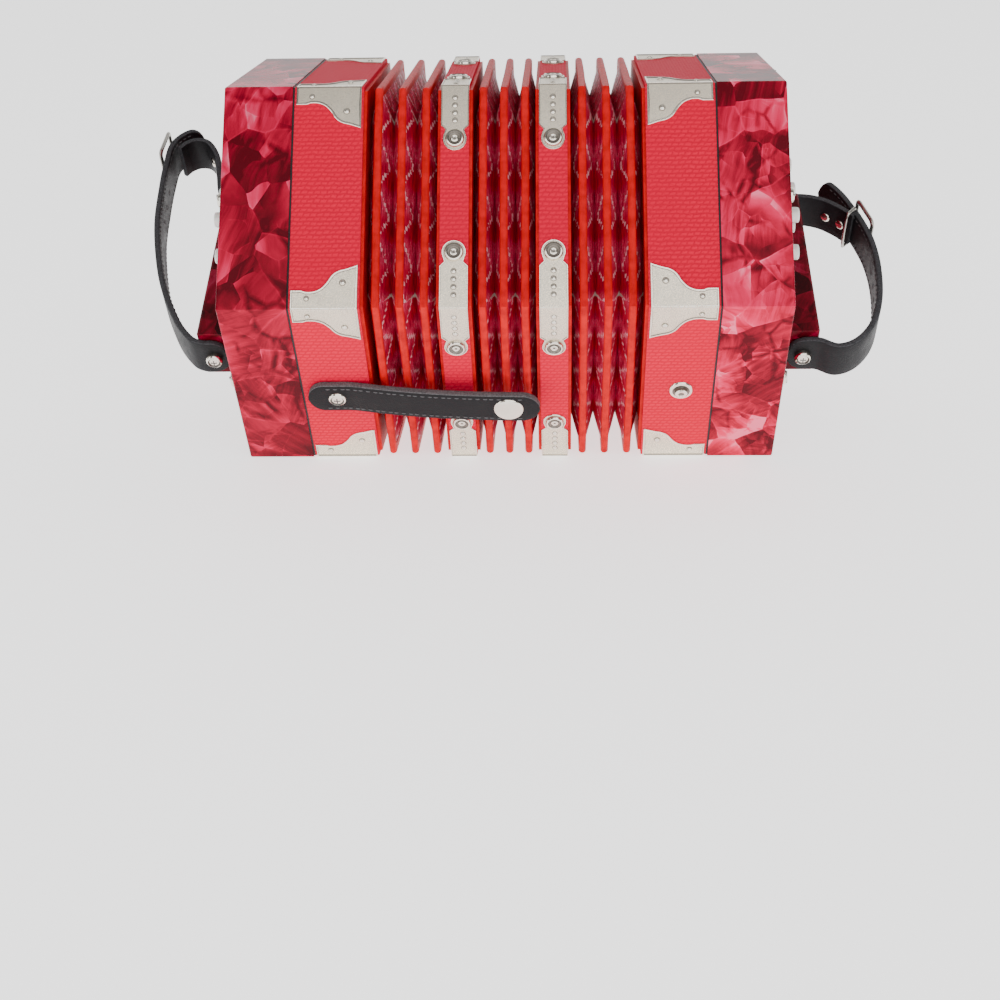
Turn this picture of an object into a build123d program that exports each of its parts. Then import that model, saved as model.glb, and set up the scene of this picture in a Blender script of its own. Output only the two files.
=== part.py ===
"""Hexagonal Anglo concertina: two fretted ends with keys, three bellows sections, leather straps."""

import math
import os

from build123d import *

# Frame: +X runs along the bellows to the right-hand end, +Z is up, and Y = 0 is mid-depth.
# Z = 0 is the plane the lower flats of both end boxes rest on. Everything is in millimetres.

# Overall hexagon: flats at the top and bottom, one crease at the front and one at the back.
HEX_SIDE = 95.0
HALF_FLAT = HEX_SIDE * math.sqrt(3) / 2
AXIS_Z = HALF_FLAT
METAL = 0.6
SKIN = HALF_FLAT - METAL

# Stations along the bellows axis, for the right-hand half.
BOX_IN = 87.4
BOX_OUT = 116.0
SEAT = 112.4
PLATE_OUT = 115.4
BOARD_OUT = 91.4
FRAME_IN = 58.0
FRAME_OUT = 86.6
MID_IN = 14.25
MID_OUT = 25.95

# End boxes and bellows frames.
BOX_BORE = 73.3
BOX_LEDGE = 71.8
FRAME_BORE = 73.6
MID_BORE = 70.0
BOLT_CIRCLE = 77.8
BOLT_R = 1.6
BOLT_HOLE_R = 1.9
BOLT_HEAD_R = 3.2

# Rail coordinates: v runs along the hand rail (down and forward), u runs across it.
ALONG = (0, -math.sqrt(3) / 2, -0.5)
ACROSS = (0, -0.5, math.sqrt(3) / 2)
RAIL_V = (-15.0, 70.0)
RAIL_U = (-4.0, 20.0)
RAIL_TOP = 130.6
RAIL_U_MID = (RAIL_U[0] + RAIL_U[1]) / 2

# Keys: two rows of five on each end, as (u, v) of each button.
ROW_A = [(45.0, v) for v in (49.0, 33.0, 17.0, 1.0, -15.0)]
ROW_B = [(56.0, v) for v in (38.5, 23.0, 7.5, -8.0, -23.5)]
BUTTON_R = 3.25
BUTTON_TOP = PLATE_OUT + 5.5
BUTTON_HOLE_R = 3.95
HOLE_LEAN = 0.2
PIVOT_U = -10.0
PIVOT_X = 108.0
AXLE_R = 0.8
AXLE_FIT = 0.05
LEVER_W = 2.4
LEVER_H = 3.6
PAD_U = {"a": -40.0, "b": -53.0}
PAD_R = 5.5
PAD_H = 3.0
PAD_GAP = 0.1
PAD_HOLE_R = 4.0
POSTS_V = (56.0, 43.75, 28.0, 12.25, -3.5, -19.25, -31.0)
AIR_KEY = (30.0, -40.0)
AIR_PAD_R = 8.0

# Reed pan: walls between the chambers, and the middle of the reed plates along u.
CHAMBER_WALLS_V = (-31.0, -11.5, 4.25, 20.0, 35.75, 56.0)
REED_U = -8.0

# Bellows folds.
RIDGE = 80.4
VALLEY = 65.0
CARD = 1.3
FOLDS = 3

# Straps.
STRAP_W = 18.0
STRAP_T = 2.6
BAND_W = 16.0
BAND_T = 3.0
BAND_SCREW = (-72.0, -4.85)
BAND_CAP_X = 1.0
STUD = (73.4, -3.45)

os.makedirs("parts", exist_ok=True)


def across(x):
    """Plane across the bellows axis at x, local x along +Y and local y along +Z."""
    return Plane(origin=(x, 0, AXIS_Z), x_dir=(0, 1, 0), z_dir=(1, 0, 0))


def rail(x):
    """Plane across the axis at x in rail coordinates: local x is v, local y is u, normal is -X."""
    return Plane(origin=(x, 0, AXIS_Z), x_dir=ALONG, z_dir=(-1, 0, 0))


def beside(u):
    """Plane normal to u: local x is v, local y is +X."""
    return Plane(origin=(0, ACROSS[1] * u, AXIS_Z + ACROSS[2] * u), x_dir=ALONG, z_dir=ACROSS)


def ahead(v):
    """Plane normal to v at the lower front faces: local x is +X, local y is u."""
    return Plane(origin=(0, ALONG[1] * v, AXIS_Z + ALONG[2] * v), x_dir=(1, 0, 0), z_dir=ALONG)


def ahead_u(u):
    """Local y on an ahead() plane for a rail coordinate u."""
    return u if ahead(0).y_dir.dot(Vector(*ACROSS)) > 0 else -u


def hexagon(half_flat, mode=Mode.ADD):
    """Hexagon with flats at the top and bottom, by half its size across the flats."""
    RegularPolygon(radius=half_flat, side_count=6, major_radius=False, mode=mode)


def ring(x0, x1, outer, inner):
    """Hexagonal ring from x0 to x1."""
    with BuildPart() as body:
        with BuildSketch(across(x0)):
            hexagon(outer)
            hexagon(inner, mode=Mode.SUBTRACT)
        extrude(amount=x1 - x0)
    return body.part


def export(name, pieces, side="right"):
    """Write the separate solids of one node, mirrored to the left-hand end when asked."""
    solids = []
    for piece in pieces:
        solids.extend(piece.solids())
    if side == "left":
        solids = [solid.mirror(Plane.YZ) for solid in solids]
    node = Compound(label=name, children=solids)
    export_step(node, f"parts/{name}.step")


def end_box():
    """Pearl-covered hexagonal box ring with a ledge for the end plate and six bolt holes."""
    with BuildPart() as body:
        with BuildSketch(across(BOX_IN)):
            hexagon(HALF_FLAT)
        extrude(amount=BOX_OUT - BOX_IN)
        fillet(body.faces().sort_by(Axis.X)[-1].edges(), radius=0.9)
        with BuildSketch(across(BOX_IN)):
            hexagon(BOX_LEDGE)
        extrude(amount=BOX_OUT - BOX_IN, mode=Mode.SUBTRACT)
        with BuildSketch(across(SEAT)):
            hexagon(BOX_BORE)
        extrude(amount=BOX_OUT - SEAT, mode=Mode.SUBTRACT)
        with BuildSketch(across(BOX_IN)):
            with PolarLocations(BOLT_CIRCLE, 6, start_angle=30):
                Circle(BOLT_HOLE_R)
        extrude(amount=BOX_OUT - BOX_IN, mode=Mode.SUBTRACT)
    return [body.part]


def fret_spots():
    """Places and turns of the leaf-shaped openings in the end plate, as (v, u, turn)."""
    spots = []
    for row, (u, first, count) in enumerate(((-21, -42, 7), (-34, -42, 7), (-47, -35, 6), (-60, -21, 4))):
        for i in range(count):
            spots.append((first + 14 * i, u, 38 if (i + row) % 2 else -38))
    return spots


def end_plate(side):
    """Fretted end plate with button holes and the rail's screw holes."""
    buttons = ROW_A + ROW_B
    with BuildPart() as body:
        with BuildSketch(rail(PLATE_OUT)):
            RegularPolygon(radius=BOX_BORE - 0.15, side_count=6, major_radius=False, rotation=30)
            with Locations(*[(v, u + HOLE_LEAN) for u, v in buttons]):
                Circle(BUTTON_HOLE_R, mode=Mode.SUBTRACT)
            for v, u, turn in fret_spots():
                with Locations((v, u)):
                    Ellipse(6.2, 2.3, rotation=turn, mode=Mode.SUBTRACT)
            with Locations((RAIL_V[0] + 14, RAIL_U_MID), (RAIL_V[1] - 14, RAIL_U_MID)):
                Circle(1.4, mode=Mode.SUBTRACT)
            if side == "right":
                with Locations((AIR_KEY[1], AIR_KEY[0] + HOLE_LEAN)):
                    Circle(BUTTON_HOLE_R, mode=Mode.SUBTRACT)
        extrude(amount=PLATE_OUT - SEAT)
    return [body.part]


def hand_rail():
    """Raised rail the hand rests against, screwed on through the end plate."""
    with BuildPart() as body:
        with BuildSketch(rail(RAIL_TOP)):
            with Locations(((RAIL_V[0] + RAIL_V[1]) / 2, RAIL_U_MID)):
                Rectangle(RAIL_V[1] - RAIL_V[0], RAIL_U[1] - RAIL_U[0])
        extrude(amount=RAIL_TOP - PLATE_OUT)
        fillet(body.faces().sort_by(Axis.X)[-1].edges(), radius=1.6)
        with BuildSketch(rail(PLATE_OUT)):
            with Locations((RAIL_V[0] + 14, RAIL_U_MID), (RAIL_V[1] - 14, RAIL_U_MID)):
                Circle(1.3)
        extrude(amount=-9, mode=Mode.SUBTRACT)
        with BuildSketch(ahead(RAIL_V[1])):
            with Locations((124.0, ahead_u(RAIL_U_MID))):
                Circle(1.3)
        extrude(amount=-9, mode=Mode.SUBTRACT)
        with BuildSketch(ahead(RAIL_V[0])):
            with Locations((124.0, ahead_u(RAIL_U_MID))):
                Circle(1.3)
        extrude(amount=9, mode=Mode.SUBTRACT)
    return [body.part]


def path_points(control, steps=10):
    """Smooth run of points through the control points, with a unit normal at each."""
    pts = [Vector(*control[0])] + [Vector(*p) for p in control] + [Vector(*control[-1])]
    run = []
    for i in range(1, len(pts) - 2):
        p0, p1, p2, p3 = pts[i - 1], pts[i], pts[i + 1], pts[i + 2]
        for k in range(steps):
            t = k / steps
            a = p1 * 2
            b = (p2 - p0) * t
            c = (p0 * 2 - p1 * 5 + p2 * 4 - p3) * t**2
            d = (p1 * 3 - p0 - p2 * 3 + p3) * t**3
            run.append((a + b + c + d) * 0.5)
    run.append(pts[-2])
    out = []
    for i, p in enumerate(run):
        way = run[min(i + 1, len(run) - 1)] - run[max(i - 1, 0)]
        way = way.normalized()
        out.append((p, Vector(-way.Y, way.X)))
    return out


def ribbon(plane, control, thick, width, shift=0.0):
    """Band of even thickness bent along a path in the plane and extruded across it."""
    run = path_points(control, 4)
    upper = [p + n * (shift + thick / 2) for p, n in run]
    lower = [p + n * (shift - thick / 2) for p, n in run]
    with BuildPart() as body:
        with BuildSketch(plane):
            with BuildLine():
                Spline(*[(p.X, p.Y) for p in upper])
                Line((upper[-1].X, upper[-1].Y), (lower[-1].X, lower[-1].Y))
                Spline(*[(p.X, p.Y) for p in reversed(lower)])
                Line((lower[0].X, lower[0].Y), (upper[0].X, upper[0].Y))
            make_face()
        extrude(amount=width)
    return body.part


# Loop paths as (v, x) of the middle of the leather, from the front tab to the free tip.
LOOP = {
    "right": [(71.6, 117.2), (71.6, 124), (71.9, 130.5), (75.2, 138), (71.5, 146.5), (61.6, 154.0),
              (47, 158.6), (28.8, 160.6), (13, 160.0), (0.5, 157.4), (-9, 154.2), (-19, 150), (-29, 143.5)],
    "left": [(71.6, 117.2), (71.6, 124), (71.5, 128.8), (68.2, 134.4), (56.3, 142.4), (32, 152.4), (0, 159.8),
             (-27, 162.2), (-45, 162.8), (-57, 162.2), (-65, 157.5), (-69.5, 149.5)],
}
# Buckle pieces as (v, x), from the rail's back end to the buckle.
LINK = {
    "right": [(-16.7, 117.2), (-16.7, 126), (-16.7, 134), (-14.2, 142), (-8.5, 148.8), (-0.5, 153.0), (7, 155.0)],
    "left": [(-16.7, 117.2), (-16.7, 124), (-17.4, 128.6), (-22.5, 133.6), (-34, 136.2), (-48, 139.0), (-58.3, 144.6),
             (-61.3, 152.4), (-55.5, 158.3), (-49, 159.0)],
}
# Buckle centre (v, x) and the way the band runs through it.
BUCKLE = {"right": ((-2.5, 159.6), (-0.958, -0.287)), "left": ((-54.5, 165.2), (-1.0, -0.02))}


def hand_strap(side):
    """Leather hand strap: the long band and the shorter piece that carries the buckle."""
    plane = beside(RAIL_U_MID - STRAP_W / 2)
    band = ribbon(plane, LOOP[side], STRAP_T, STRAP_W)
    link = ribbon(plane, LINK[side], STRAP_T - 0.2, STRAP_W)
    pieces = []
    for part, v in ((band, RAIL_V[1]), (link, RAIL_V[0])):
        with BuildPart() as body:
            add(part)
            with BuildSketch(ahead(v)):
                with Locations((124.0, ahead_u(RAIL_U_MID))):
                    Circle(1.9)
            extrude(amount=6, both=True, mode=Mode.SUBTRACT)
        pieces.append(body.part)
    return pieces


def strap_buckle(side):
    """Roller buckle frame and prong, lying on the outside of the band."""
    (v, x), (dv, dx) = BUCKLE[side]
    origin = beside(RAIL_U_MID).from_local_coords(Vector(v, x, 0))
    way = beside(0).from_local_coords(Vector(dv, dx, 0)) - beside(0).from_local_coords(Vector(0, 0, 0))
    normal = Vector(*ACROSS).cross(way)
    if normal.X < 0:
        normal = normal * -1
    seat = Plane(origin=origin, x_dir=way, z_dir=normal)
    with BuildPart() as frame:
        with BuildSketch(seat):
            RectangleRounded(15, 25, 2.4)
            RectangleRounded(10.4, 20.4, 1.4, mode=Mode.SUBTRACT)
        extrude(amount=2.0)
    with BuildPart() as prong:
        with BuildSketch(seat):
            with Locations((0, 0)):
                SlotOverall(10.2, 1.8)
        extrude(amount=1.4)
    return [frame.part, prong.part]


def stud_body(plane, spot, radius, height, hole=0.0):
    """Short round piece standing on a plane."""
    with BuildPart() as body:
        with BuildSketch(plane):
            with Locations(spot):
                Circle(radius)
                if hole:
                    Circle(hole, mode=Mode.SUBTRACT)
        extrude(amount=height)
    return body.part


def end_fasteners():
    """Six long end bolts, the rail's two screws and the two strap screws with cup washers."""
    with BuildPart() as bolts:
        with BuildSketch(across(BOX_OUT)):
            with PolarLocations(BOLT_CIRCLE, 6, start_angle=30):
                Circle(BOLT_HEAD_R)
        extrude(amount=1.6)
        fillet(bolts.edges().group_by(Axis.X)[-1], radius=1.1)
        with BuildSketch(across(BOX_OUT)):
            with PolarLocations(BOLT_CIRCLE, 6, start_angle=30):
                Circle(BOLT_R)
        extrude(amount=-(BOX_OUT - FRAME_OUT + 16))
    with BuildPart() as rail_screws:
        with BuildSketch(rail(SEAT)):
            with Locations((RAIL_V[0] + 14, RAIL_U_MID), (RAIL_V[1] - 14, RAIL_U_MID)):
                Circle(2.6)
        extrude(amount=1.2)
        with BuildSketch(rail(SEAT)):
            with Locations((RAIL_V[0] + 14, RAIL_U_MID), (RAIL_V[1] - 14, RAIL_U_MID)):
                Circle(1.25)
        extrude(amount=-(PLATE_OUT - SEAT + 8.5))
    pieces = [bolts.part, rail_screws.part]
    for v, turn in ((RAIL_V[1], 1), (RAIL_V[0], -1)):
        top = v + turn * (STRAP_T + 0.45)
        spot = (124.0, ahead_u(RAIL_U_MID))
        with BuildPart() as screw:
            with BuildSketch(ahead(top)):
                with Locations(spot):
                    Circle(3.5)
            extrude(amount=turn * 1.7)
            with BuildSketch(ahead(top)):
                with Locations(spot):
                    Circle(1.25)
            extrude(amount=-turn * (STRAP_T + 8))
        pieces.append(screw.part)
    return pieces


def key_rows():
    """Name, button place and pad place of the ten keys of one end."""
    keys = []
    for row, places in (("a", ROW_A), ("b", ROW_B)):
        for i, (u, v) in enumerate(places):
            keys.append((f"{row}{i + 1}", u, v, PAD_U[row]))
    return keys


def key(u, v, pad_u, pad_r=PAD_R):
    """One key: button, pivoted lever, pad stem and pad."""
    lever_x = PIVOT_X + LEVER_H / 2
    with BuildPart() as button:
        with BuildSketch(rail(BUTTON_TOP)):
            with Locations((v, u)):
                Circle(BUTTON_R)
        extrude(amount=BUTTON_TOP - lever_x)
        fillet(button.edges().group_by(Axis.X)[-1], radius=0.9)
    with BuildPart() as lever:
        with BuildSketch(rail(lever_x)):
            with Locations((v, (u + 1 + pad_u) / 2)):
                Rectangle(LEVER_W, u + 1 - pad_u)
            with Locations((v, pad_u)):
                Circle(2.2)
        extrude(amount=LEVER_H)
        with BuildSketch(ahead(v - LEVER_W)):
            with Locations((PIVOT_X, ahead_u(PIVOT_U))):
                Circle(AXLE_R + AXLE_FIT)
        extrude(amount=2 * LEVER_W, mode=Mode.SUBTRACT)
    pad_x = BOARD_OUT + PAD_GAP
    with BuildPart() as stem:
        with BuildSketch(rail(PIVOT_X - LEVER_H / 2)):
            with Locations((v, pad_u)):
                Circle(1.2)
        extrude(amount=PIVOT_X - LEVER_H / 2 - pad_x - PAD_H)
    with BuildPart() as pad:
        with BuildSketch(rail(pad_x + PAD_H)):
            with Locations((v, pad_u)):
                Circle(pad_r)
        extrude(amount=PAD_H)
    return [button.part, lever.part, stem.part, pad.part]


def action_board(side):
    """Board that carries the keys, with a hole under each pad."""
    with BuildPart() as body:
        with BuildSketch(rail(BOARD_OUT)):
            RegularPolygon(radius=BOX_LEDGE - 0.15, side_count=6, major_radius=False, rotation=30)
            with Locations(*[(v, pad_u) for _, _, v, pad_u in key_rows()]):
                Circle(PAD_HOLE_R, mode=Mode.SUBTRACT)
            if side == "right":
                with Locations((AIR_KEY[1], -AIR_KEY[0])):
                    Circle(AIR_PAD_R - 2, mode=Mode.SUBTRACT)
        extrude(amount=BOARD_OUT - BOX_IN)
    return [body.part]


def key_pivots(side):
    """Comb posts on the action board and the axle rod through them and the levers."""
    posts_v = POSTS_V + ((-45.5,) if side == "right" else ())
    with BuildPart() as posts:
        with BuildSketch(rail(PIVOT_X + 2.4)):
            with Locations(*[(v, PIVOT_U) for v in posts_v]):
                Rectangle(LEVER_W, 6)
        extrude(amount=PIVOT_X + 2.4 - BOARD_OUT)
        with BuildSketch(ahead(min(posts_v) - 5)):
            with Locations((PIVOT_X, ahead_u(PIVOT_U))):
                Circle(AXLE_R + 0.03)
        extrude(amount=max(posts_v) - min(posts_v) + 10, mode=Mode.SUBTRACT)
    with BuildPart() as axle:
        with BuildSketch(ahead(min(posts_v) - 2.5)):
            with Locations((PIVOT_X, ahead_u(PIVOT_U))):
                Circle(AXLE_R)
        extrude(amount=max(posts_v) - min(posts_v) + 5)
    return [posts.part, axle.part]


def key_springs(side):
    """One torsion spring per key, with a leg in the board and an arm under the lever."""
    places = [v for _, _, v, _ in key_rows()]
    if side == "right":
        places.append(AIR_KEY[1])
    spring_u = PIVOT_U + 8
    pieces = []
    for v in places:
        with BuildPart() as coil:
            with BuildSketch(ahead(v - 1.4)):
                with Locations((97.0, ahead_u(spring_u))):
                    Circle(2.2)
                    Circle(1.5, mode=Mode.SUBTRACT)
            extrude(amount=2.8)
            with BuildSketch(rail(PIVOT_X - LEVER_H / 2 - 0.9)):
                with Locations((v, spring_u + 1.85)):
                    Rectangle(0.7, 0.7)
            extrude(amount=PIVOT_X - LEVER_H / 2 - 0.9 - 97.0)
            with BuildSketch(rail(97.0)):
                with Locations((v, spring_u - 1.85)):
                    Rectangle(0.7, 0.7)
            extrude(amount=97.0 - BOARD_OUT)
        pieces.append(coil.part)
    return pieces


def reed_pan():
    """Reed pan: a board against the bellows frame's mouth with dividing walls on its inner face."""
    half = FRAME_BORE - 0.2
    with BuildPart() as body:
        with BuildSketch(rail(FRAME_OUT - 0.4)):
            RegularPolygon(radius=half, side_count=6, major_radius=False, rotation=30)
            with Locations(*[(v, pad_u) for _, _, v, pad_u in key_rows()]):
                Circle(PAD_HOLE_R, mode=Mode.SUBTRACT)
            with Locations((AIR_KEY[1], -AIR_KEY[0])):
                Circle(AIR_PAD_R - 2, mode=Mode.SUBTRACT)
        extrude(amount=4)
        with BuildSketch(rail(FRAME_OUT - 4.4)):
            for v in CHAMBER_WALLS_V:
                with Locations((v, -22)):
                    Rectangle(2, 76)
            with Locations((12.5, 15), (12.5, -59)):
                Rectangle(89, 2)
            RegularPolygon(radius=half, side_count=6, major_radius=False, rotation=30, mode=Mode.INTERSECT)
        extrude(amount=12)
    return [body.part]


def reed_plates():
    """Brass reed plates with their tongues, two in each chamber of the reed pan."""
    pieces = []
    for low, high in zip(CHAMBER_WALLS_V, CHAMBER_WALLS_V[1:]):
        for v in ((low + high) / 2 - 3.4, (low + high) / 2 + 3.4):
            with BuildPart() as plate:
                with BuildSketch(rail(FRAME_OUT - 4.4)):
                    with Locations((v, REED_U)):
                        Rectangle(6.2, 34)
                        Rectangle(2.8, 24, mode=Mode.SUBTRACT)
                extrude(amount=1.6)
            with BuildPart() as tongue:
                with BuildSketch(rail(FRAME_OUT - 6.0)):
                    with Locations((v, REED_U + 1.6)):
                        Rectangle(2.2, 28.8)
                extrude(amount=0.5)
            pieces.extend([plate.part, tongue.part])
    return pieces


def seal_gasket():
    """Thin gasket between the end box and the bellows frame."""
    with BuildPart() as body:
        add(ring(FRAME_OUT, BOX_IN, SKIN + 0.1, FRAME_BORE))
        with BuildSketch(across(FRAME_OUT)):
            with PolarLocations(BOLT_CIRCLE, 6, start_angle=30):
                Circle(BOLT_HOLE_R)
        extrude(amount=BOX_IN - FRAME_OUT, mode=Mode.SUBTRACT)
    return [body.part]


def bellows_frame(side):
    """Wooden frame behind the end box that the bellows are glued to."""
    with BuildPart() as body:
        add(ring(FRAME_IN, FRAME_OUT, SKIN, FRAME_BORE))
        with BuildSketch(across(FRAME_OUT)):
            with PolarLocations(BOLT_CIRCLE, 6, start_angle=30):
                Circle(BOLT_HOLE_R)
        extrude(amount=-17, mode=Mode.SUBTRACT)
        if side == "left":
            with BuildSketch(ahead(SKIN)):
                with Locations((-BAND_SCREW[0], ahead_u(BAND_SCREW[1]))):
                    Circle(1.9)
            extrude(amount=-6, mode=Mode.SUBTRACT)
    return [body.part]


def crease_face():
    """Plane of the face just below the back crease: local x is +X, local y runs off the crease."""
    angle = math.radians(-30)
    normal = (0, math.cos(angle), math.sin(angle))
    return Plane(origin=(0, HEX_SIDE, AXIS_Z), x_dir=(1, 0, 0), z_dir=normal)


def six_times(piece):
    """Copies of a piece at all six creases."""
    axis = Axis((0, 0, AXIS_Z), (1, 0, 0))
    return [solid.rotate(axis, 60 * k) for k in range(6) for solid in piece.solids()]


def wrap(outline, x0, x1, nails):
    """Thin metal piece bent over one crease from an outline, with its nail heads."""
    with BuildPart() as body:
        with BuildSketch(crease_face()):
            with BuildLine():
                outline()
            make_face()
        extrude(amount=2, both=True)
        mirror(about=Plane.XY.offset(AXIS_Z))
        with BuildSketch(across(x0 - 1)):
            hexagon(HALF_FLAT)
            hexagon(SKIN, mode=Mode.SUBTRACT)
        extrude(amount=x1 - x0 + 2, mode=Mode.INTERSECT)
    with BuildPart() as heads:
        for x, off, radius, height in nails:
            with BuildSketch(crease_face()):
                with Locations((x, off)):
                    Circle(radius)
            extrude(amount=height)
        mirror(about=Plane.XY.offset(AXIS_Z))
    return six_times(body.part) + six_times(heads.part)


def frame_corners():
    """Corner guards of a bellows frame: wide at the bellows side, waisted, narrow at the box side."""
    x0 = FRAME_IN + 0.8
    x1 = FRAME_OUT - 0.8

    def outline():
        Line((x0, -2), (x0, 15.5))
        Line((x0, 15.5), (x0 + 3.5, 17.0))
        Spline((x0 + 3.5, 17.0), (x0 + 8.5, 15.6), (x0 + 12.5, 10.8), (x0 + 18.5, 8.0), (x1 - 1.5, 7.2))
        Line((x1 - 1.5, 7.2), (x1, 6.0))
        Line((x1, 6.0), (x1, -2))
        Line((x1, -2), (x0, -2))

    nails = ((x0 + 6.0, 11.0, 1.1, 0.5), (x1 - 6.5, 4.5, 1.1, 0.5))
    return wrap(outline, x0, x1, nails)


def mid_bands(centre):
    """Crease bands of one mid-frame: full width at the crease, waisted to a round riveted end."""
    half = (MID_OUT - MID_IN) / 2 - 0.05

    def outline():
        lo, hi = centre - half, centre + half
        Line((lo, -2), (lo, 14.5))
        ThreePointArc((lo, 14.5), (lo + 0.9, 16.5), (centre - 3.1, 17.3))
        Line((centre - 3.1, 17.3), (centre - 3.1, 19.4))
        ThreePointArc((centre - 3.1, 19.4), (centre, 28.2), (centre + 3.1, 19.4))
        Line((centre + 3.1, 19.4), (centre + 3.1, 17.3))
        ThreePointArc((centre + 3.1, 17.3), (hi - 0.9, 16.5), (hi, 14.5))
        Line((hi, 14.5), (hi, -2))
        Line((hi, -2), (lo, -2))

    return wrap(outline, centre - half, centre + half, ((centre, 23.6, 3.2, 1.1),))


def mid_frame(centre):
    """Wooden mid-frame between two bellows sections."""
    half = (MID_OUT - MID_IN) / 2
    return [ring(centre - half, centre + half, SKIN, MID_BORE)]


def bellows(x0, x1):
    """Folded hexagonal tube with flat glue flanges at both ends."""
    inner0, inner1 = x0 + CARD, x1 - CARD
    steps = [inner0 + (inner1 - inner0) * i / (2 * FOLDS) for i in range(2 * FOLDS + 1)]
    with BuildPart() as body:
        for thick, mode in ((0.0, Mode.ADD), (CARD, Mode.SUBTRACT)):
            for i in range(2 * FOLDS):
                for k in (i, i + 1):
                    half = (RIDGE if k % 2 else VALLEY) - thick
                    with BuildSketch(across(steps[k])):
                        hexagon(half)
                loft(ruled=True, mode=mode)
        for lo in (x0, inner1):
            with BuildSketch(across(lo)):
                hexagon(RIDGE)
                hexagon(VALLEY - CARD, mode=Mode.SUBTRACT)
            extrude(amount=CARD)
    return [body.part]


def bellows_strap():
    """Transport strap: a thick leather band arched over the bellows from its screw."""
    x, u = BAND_SCREW
    seat = SKIN + 0.15 + BAND_T / 2
    path = [(x - 12.4, seat), (x - 6, seat), (x, seat), (x + 7, seat + 0.2), (x + 22, seat + 2.4),
            (x + 42, seat + 4.6), (x + 66, seat + 5.9), (x + 86, seat + 6.2)]
    side = Plane(origin=beside(u - BAND_W / 2).origin, x_dir=(1, 0, 0), z_dir=tuple(-c for c in ACROSS))
    if side.y_dir.dot(Vector(*ALONG)) < 0:
        raise ValueError("the strap's side plane must rise away from the bellows")
    run = ribbon(side, path, BAND_T, -BAND_W)
    with BuildPart() as body:
        add(run)
        with BuildSketch(ahead(SKIN)):
            with Locations((x + 36.8, ahead_u(u))):
                RectangleRounded(98.4, BAND_W, 7.6)
        extrude(amount=20, mode=Mode.INTERSECT)
        with BuildSketch(ahead(SKIN)):
            with Locations((x, ahead_u(u))):
                Circle(2.0)
            with Locations((BAND_CAP_X, ahead_u(u))):
                Circle(2.3)
        extrude(amount=20, mode=Mode.SUBTRACT)
    return [body.part]


def strap_screw():
    """Round-headed screw and washer that the transport strap turns on."""
    spot = (BAND_SCREW[0], ahead_u(BAND_SCREW[1]))
    top = SKIN + 0.15 + BAND_T + 0.15
    return [stud_body(ahead(top), spot, 3.9, 1.8), stud_body(ahead(top), spot, 1.9, -(BAND_T + 0.3 + 5))]


def snap_cap():
    """Snap fastener cap on the transport strap, with its socket underneath."""
    spot = (BAND_CAP_X, ahead_u(BAND_SCREW[1]))
    seat = SKIN + 0.15 + 5.95
    cap = stud_body(ahead(seat + BAND_T + 0.45), spot, 6.2, 2.4)
    socket = stud_body(ahead(seat - 0.45), spot, 4.6, -1.0, hole=2.9)
    post = stud_body(ahead(seat - 0.45), spot, 2.2, BAND_T + 0.9)
    return [cap, socket, post]


def snap_stud():
    """Snap stud screwed to the right-hand bellows frame."""
    spot = (STUD[0], ahead_u(STUD[1]))
    return [stud_body(ahead(SKIN), spot, 5.2, 1.0), stud_body(ahead(SKIN + 1.0), spot, 2.4, 1.9)]


for side in ("right", "left"):
    export(f"end_box_{side}", end_box(), side)
    export(f"end_plate_{side}", end_plate(side), side)
    export(f"handrail_{side}", hand_rail(), side)
    export(f"hand_strap_{side}", hand_strap(side), side)
    export(f"strap_buckle_{side}", strap_buckle(side), side)
    export(f"end_fasteners_{side}", end_fasteners(), side)
    export(f"action_board_{side}", action_board(side), side)
    export(f"key_pivots_{side}", key_pivots(side), side)
    export(f"key_springs_{side}", key_springs(side), side)
    export(f"reed_pan_{side}", reed_pan(), side)
    export(f"reed_plates_{side}", reed_plates(), side)
    export(f"bellows_frame_{side}", bellows_frame(side), side)
    export(f"frame_corners_{side}", frame_corners(), side)
    export(f"seal_gasket_{side}", seal_gasket(), side)
    for name, u, v, pad_u in key_rows():
        export(f"key_{side}_{name}", key(u, v, pad_u), side)

export("air_key", key(AIR_KEY[0], AIR_KEY[1], -AIR_KEY[0], AIR_PAD_R))

MID = (MID_IN + MID_OUT) / 2
for number, centre in ((1, -MID), (2, MID)):
    export(f"mid_frame_{number}", mid_frame(centre))
    export(f"mid_bands_{number}", mid_bands(centre))

export("bellows_left", bellows(-FRAME_IN, -MID_OUT))
export("bellows_middle", bellows(-MID_IN, MID_IN))
export("bellows_right", bellows(MID_OUT, FRAME_IN))
export("bellows_strap", bellows_strap())
export("strap_screw", strap_screw())
export("snap_cap", snap_cap())
export("snap_stud", snap_stud())
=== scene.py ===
import itertools
import math
import random

import bpy
import bmesh
from mathutils import Matrix, Vector


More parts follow.
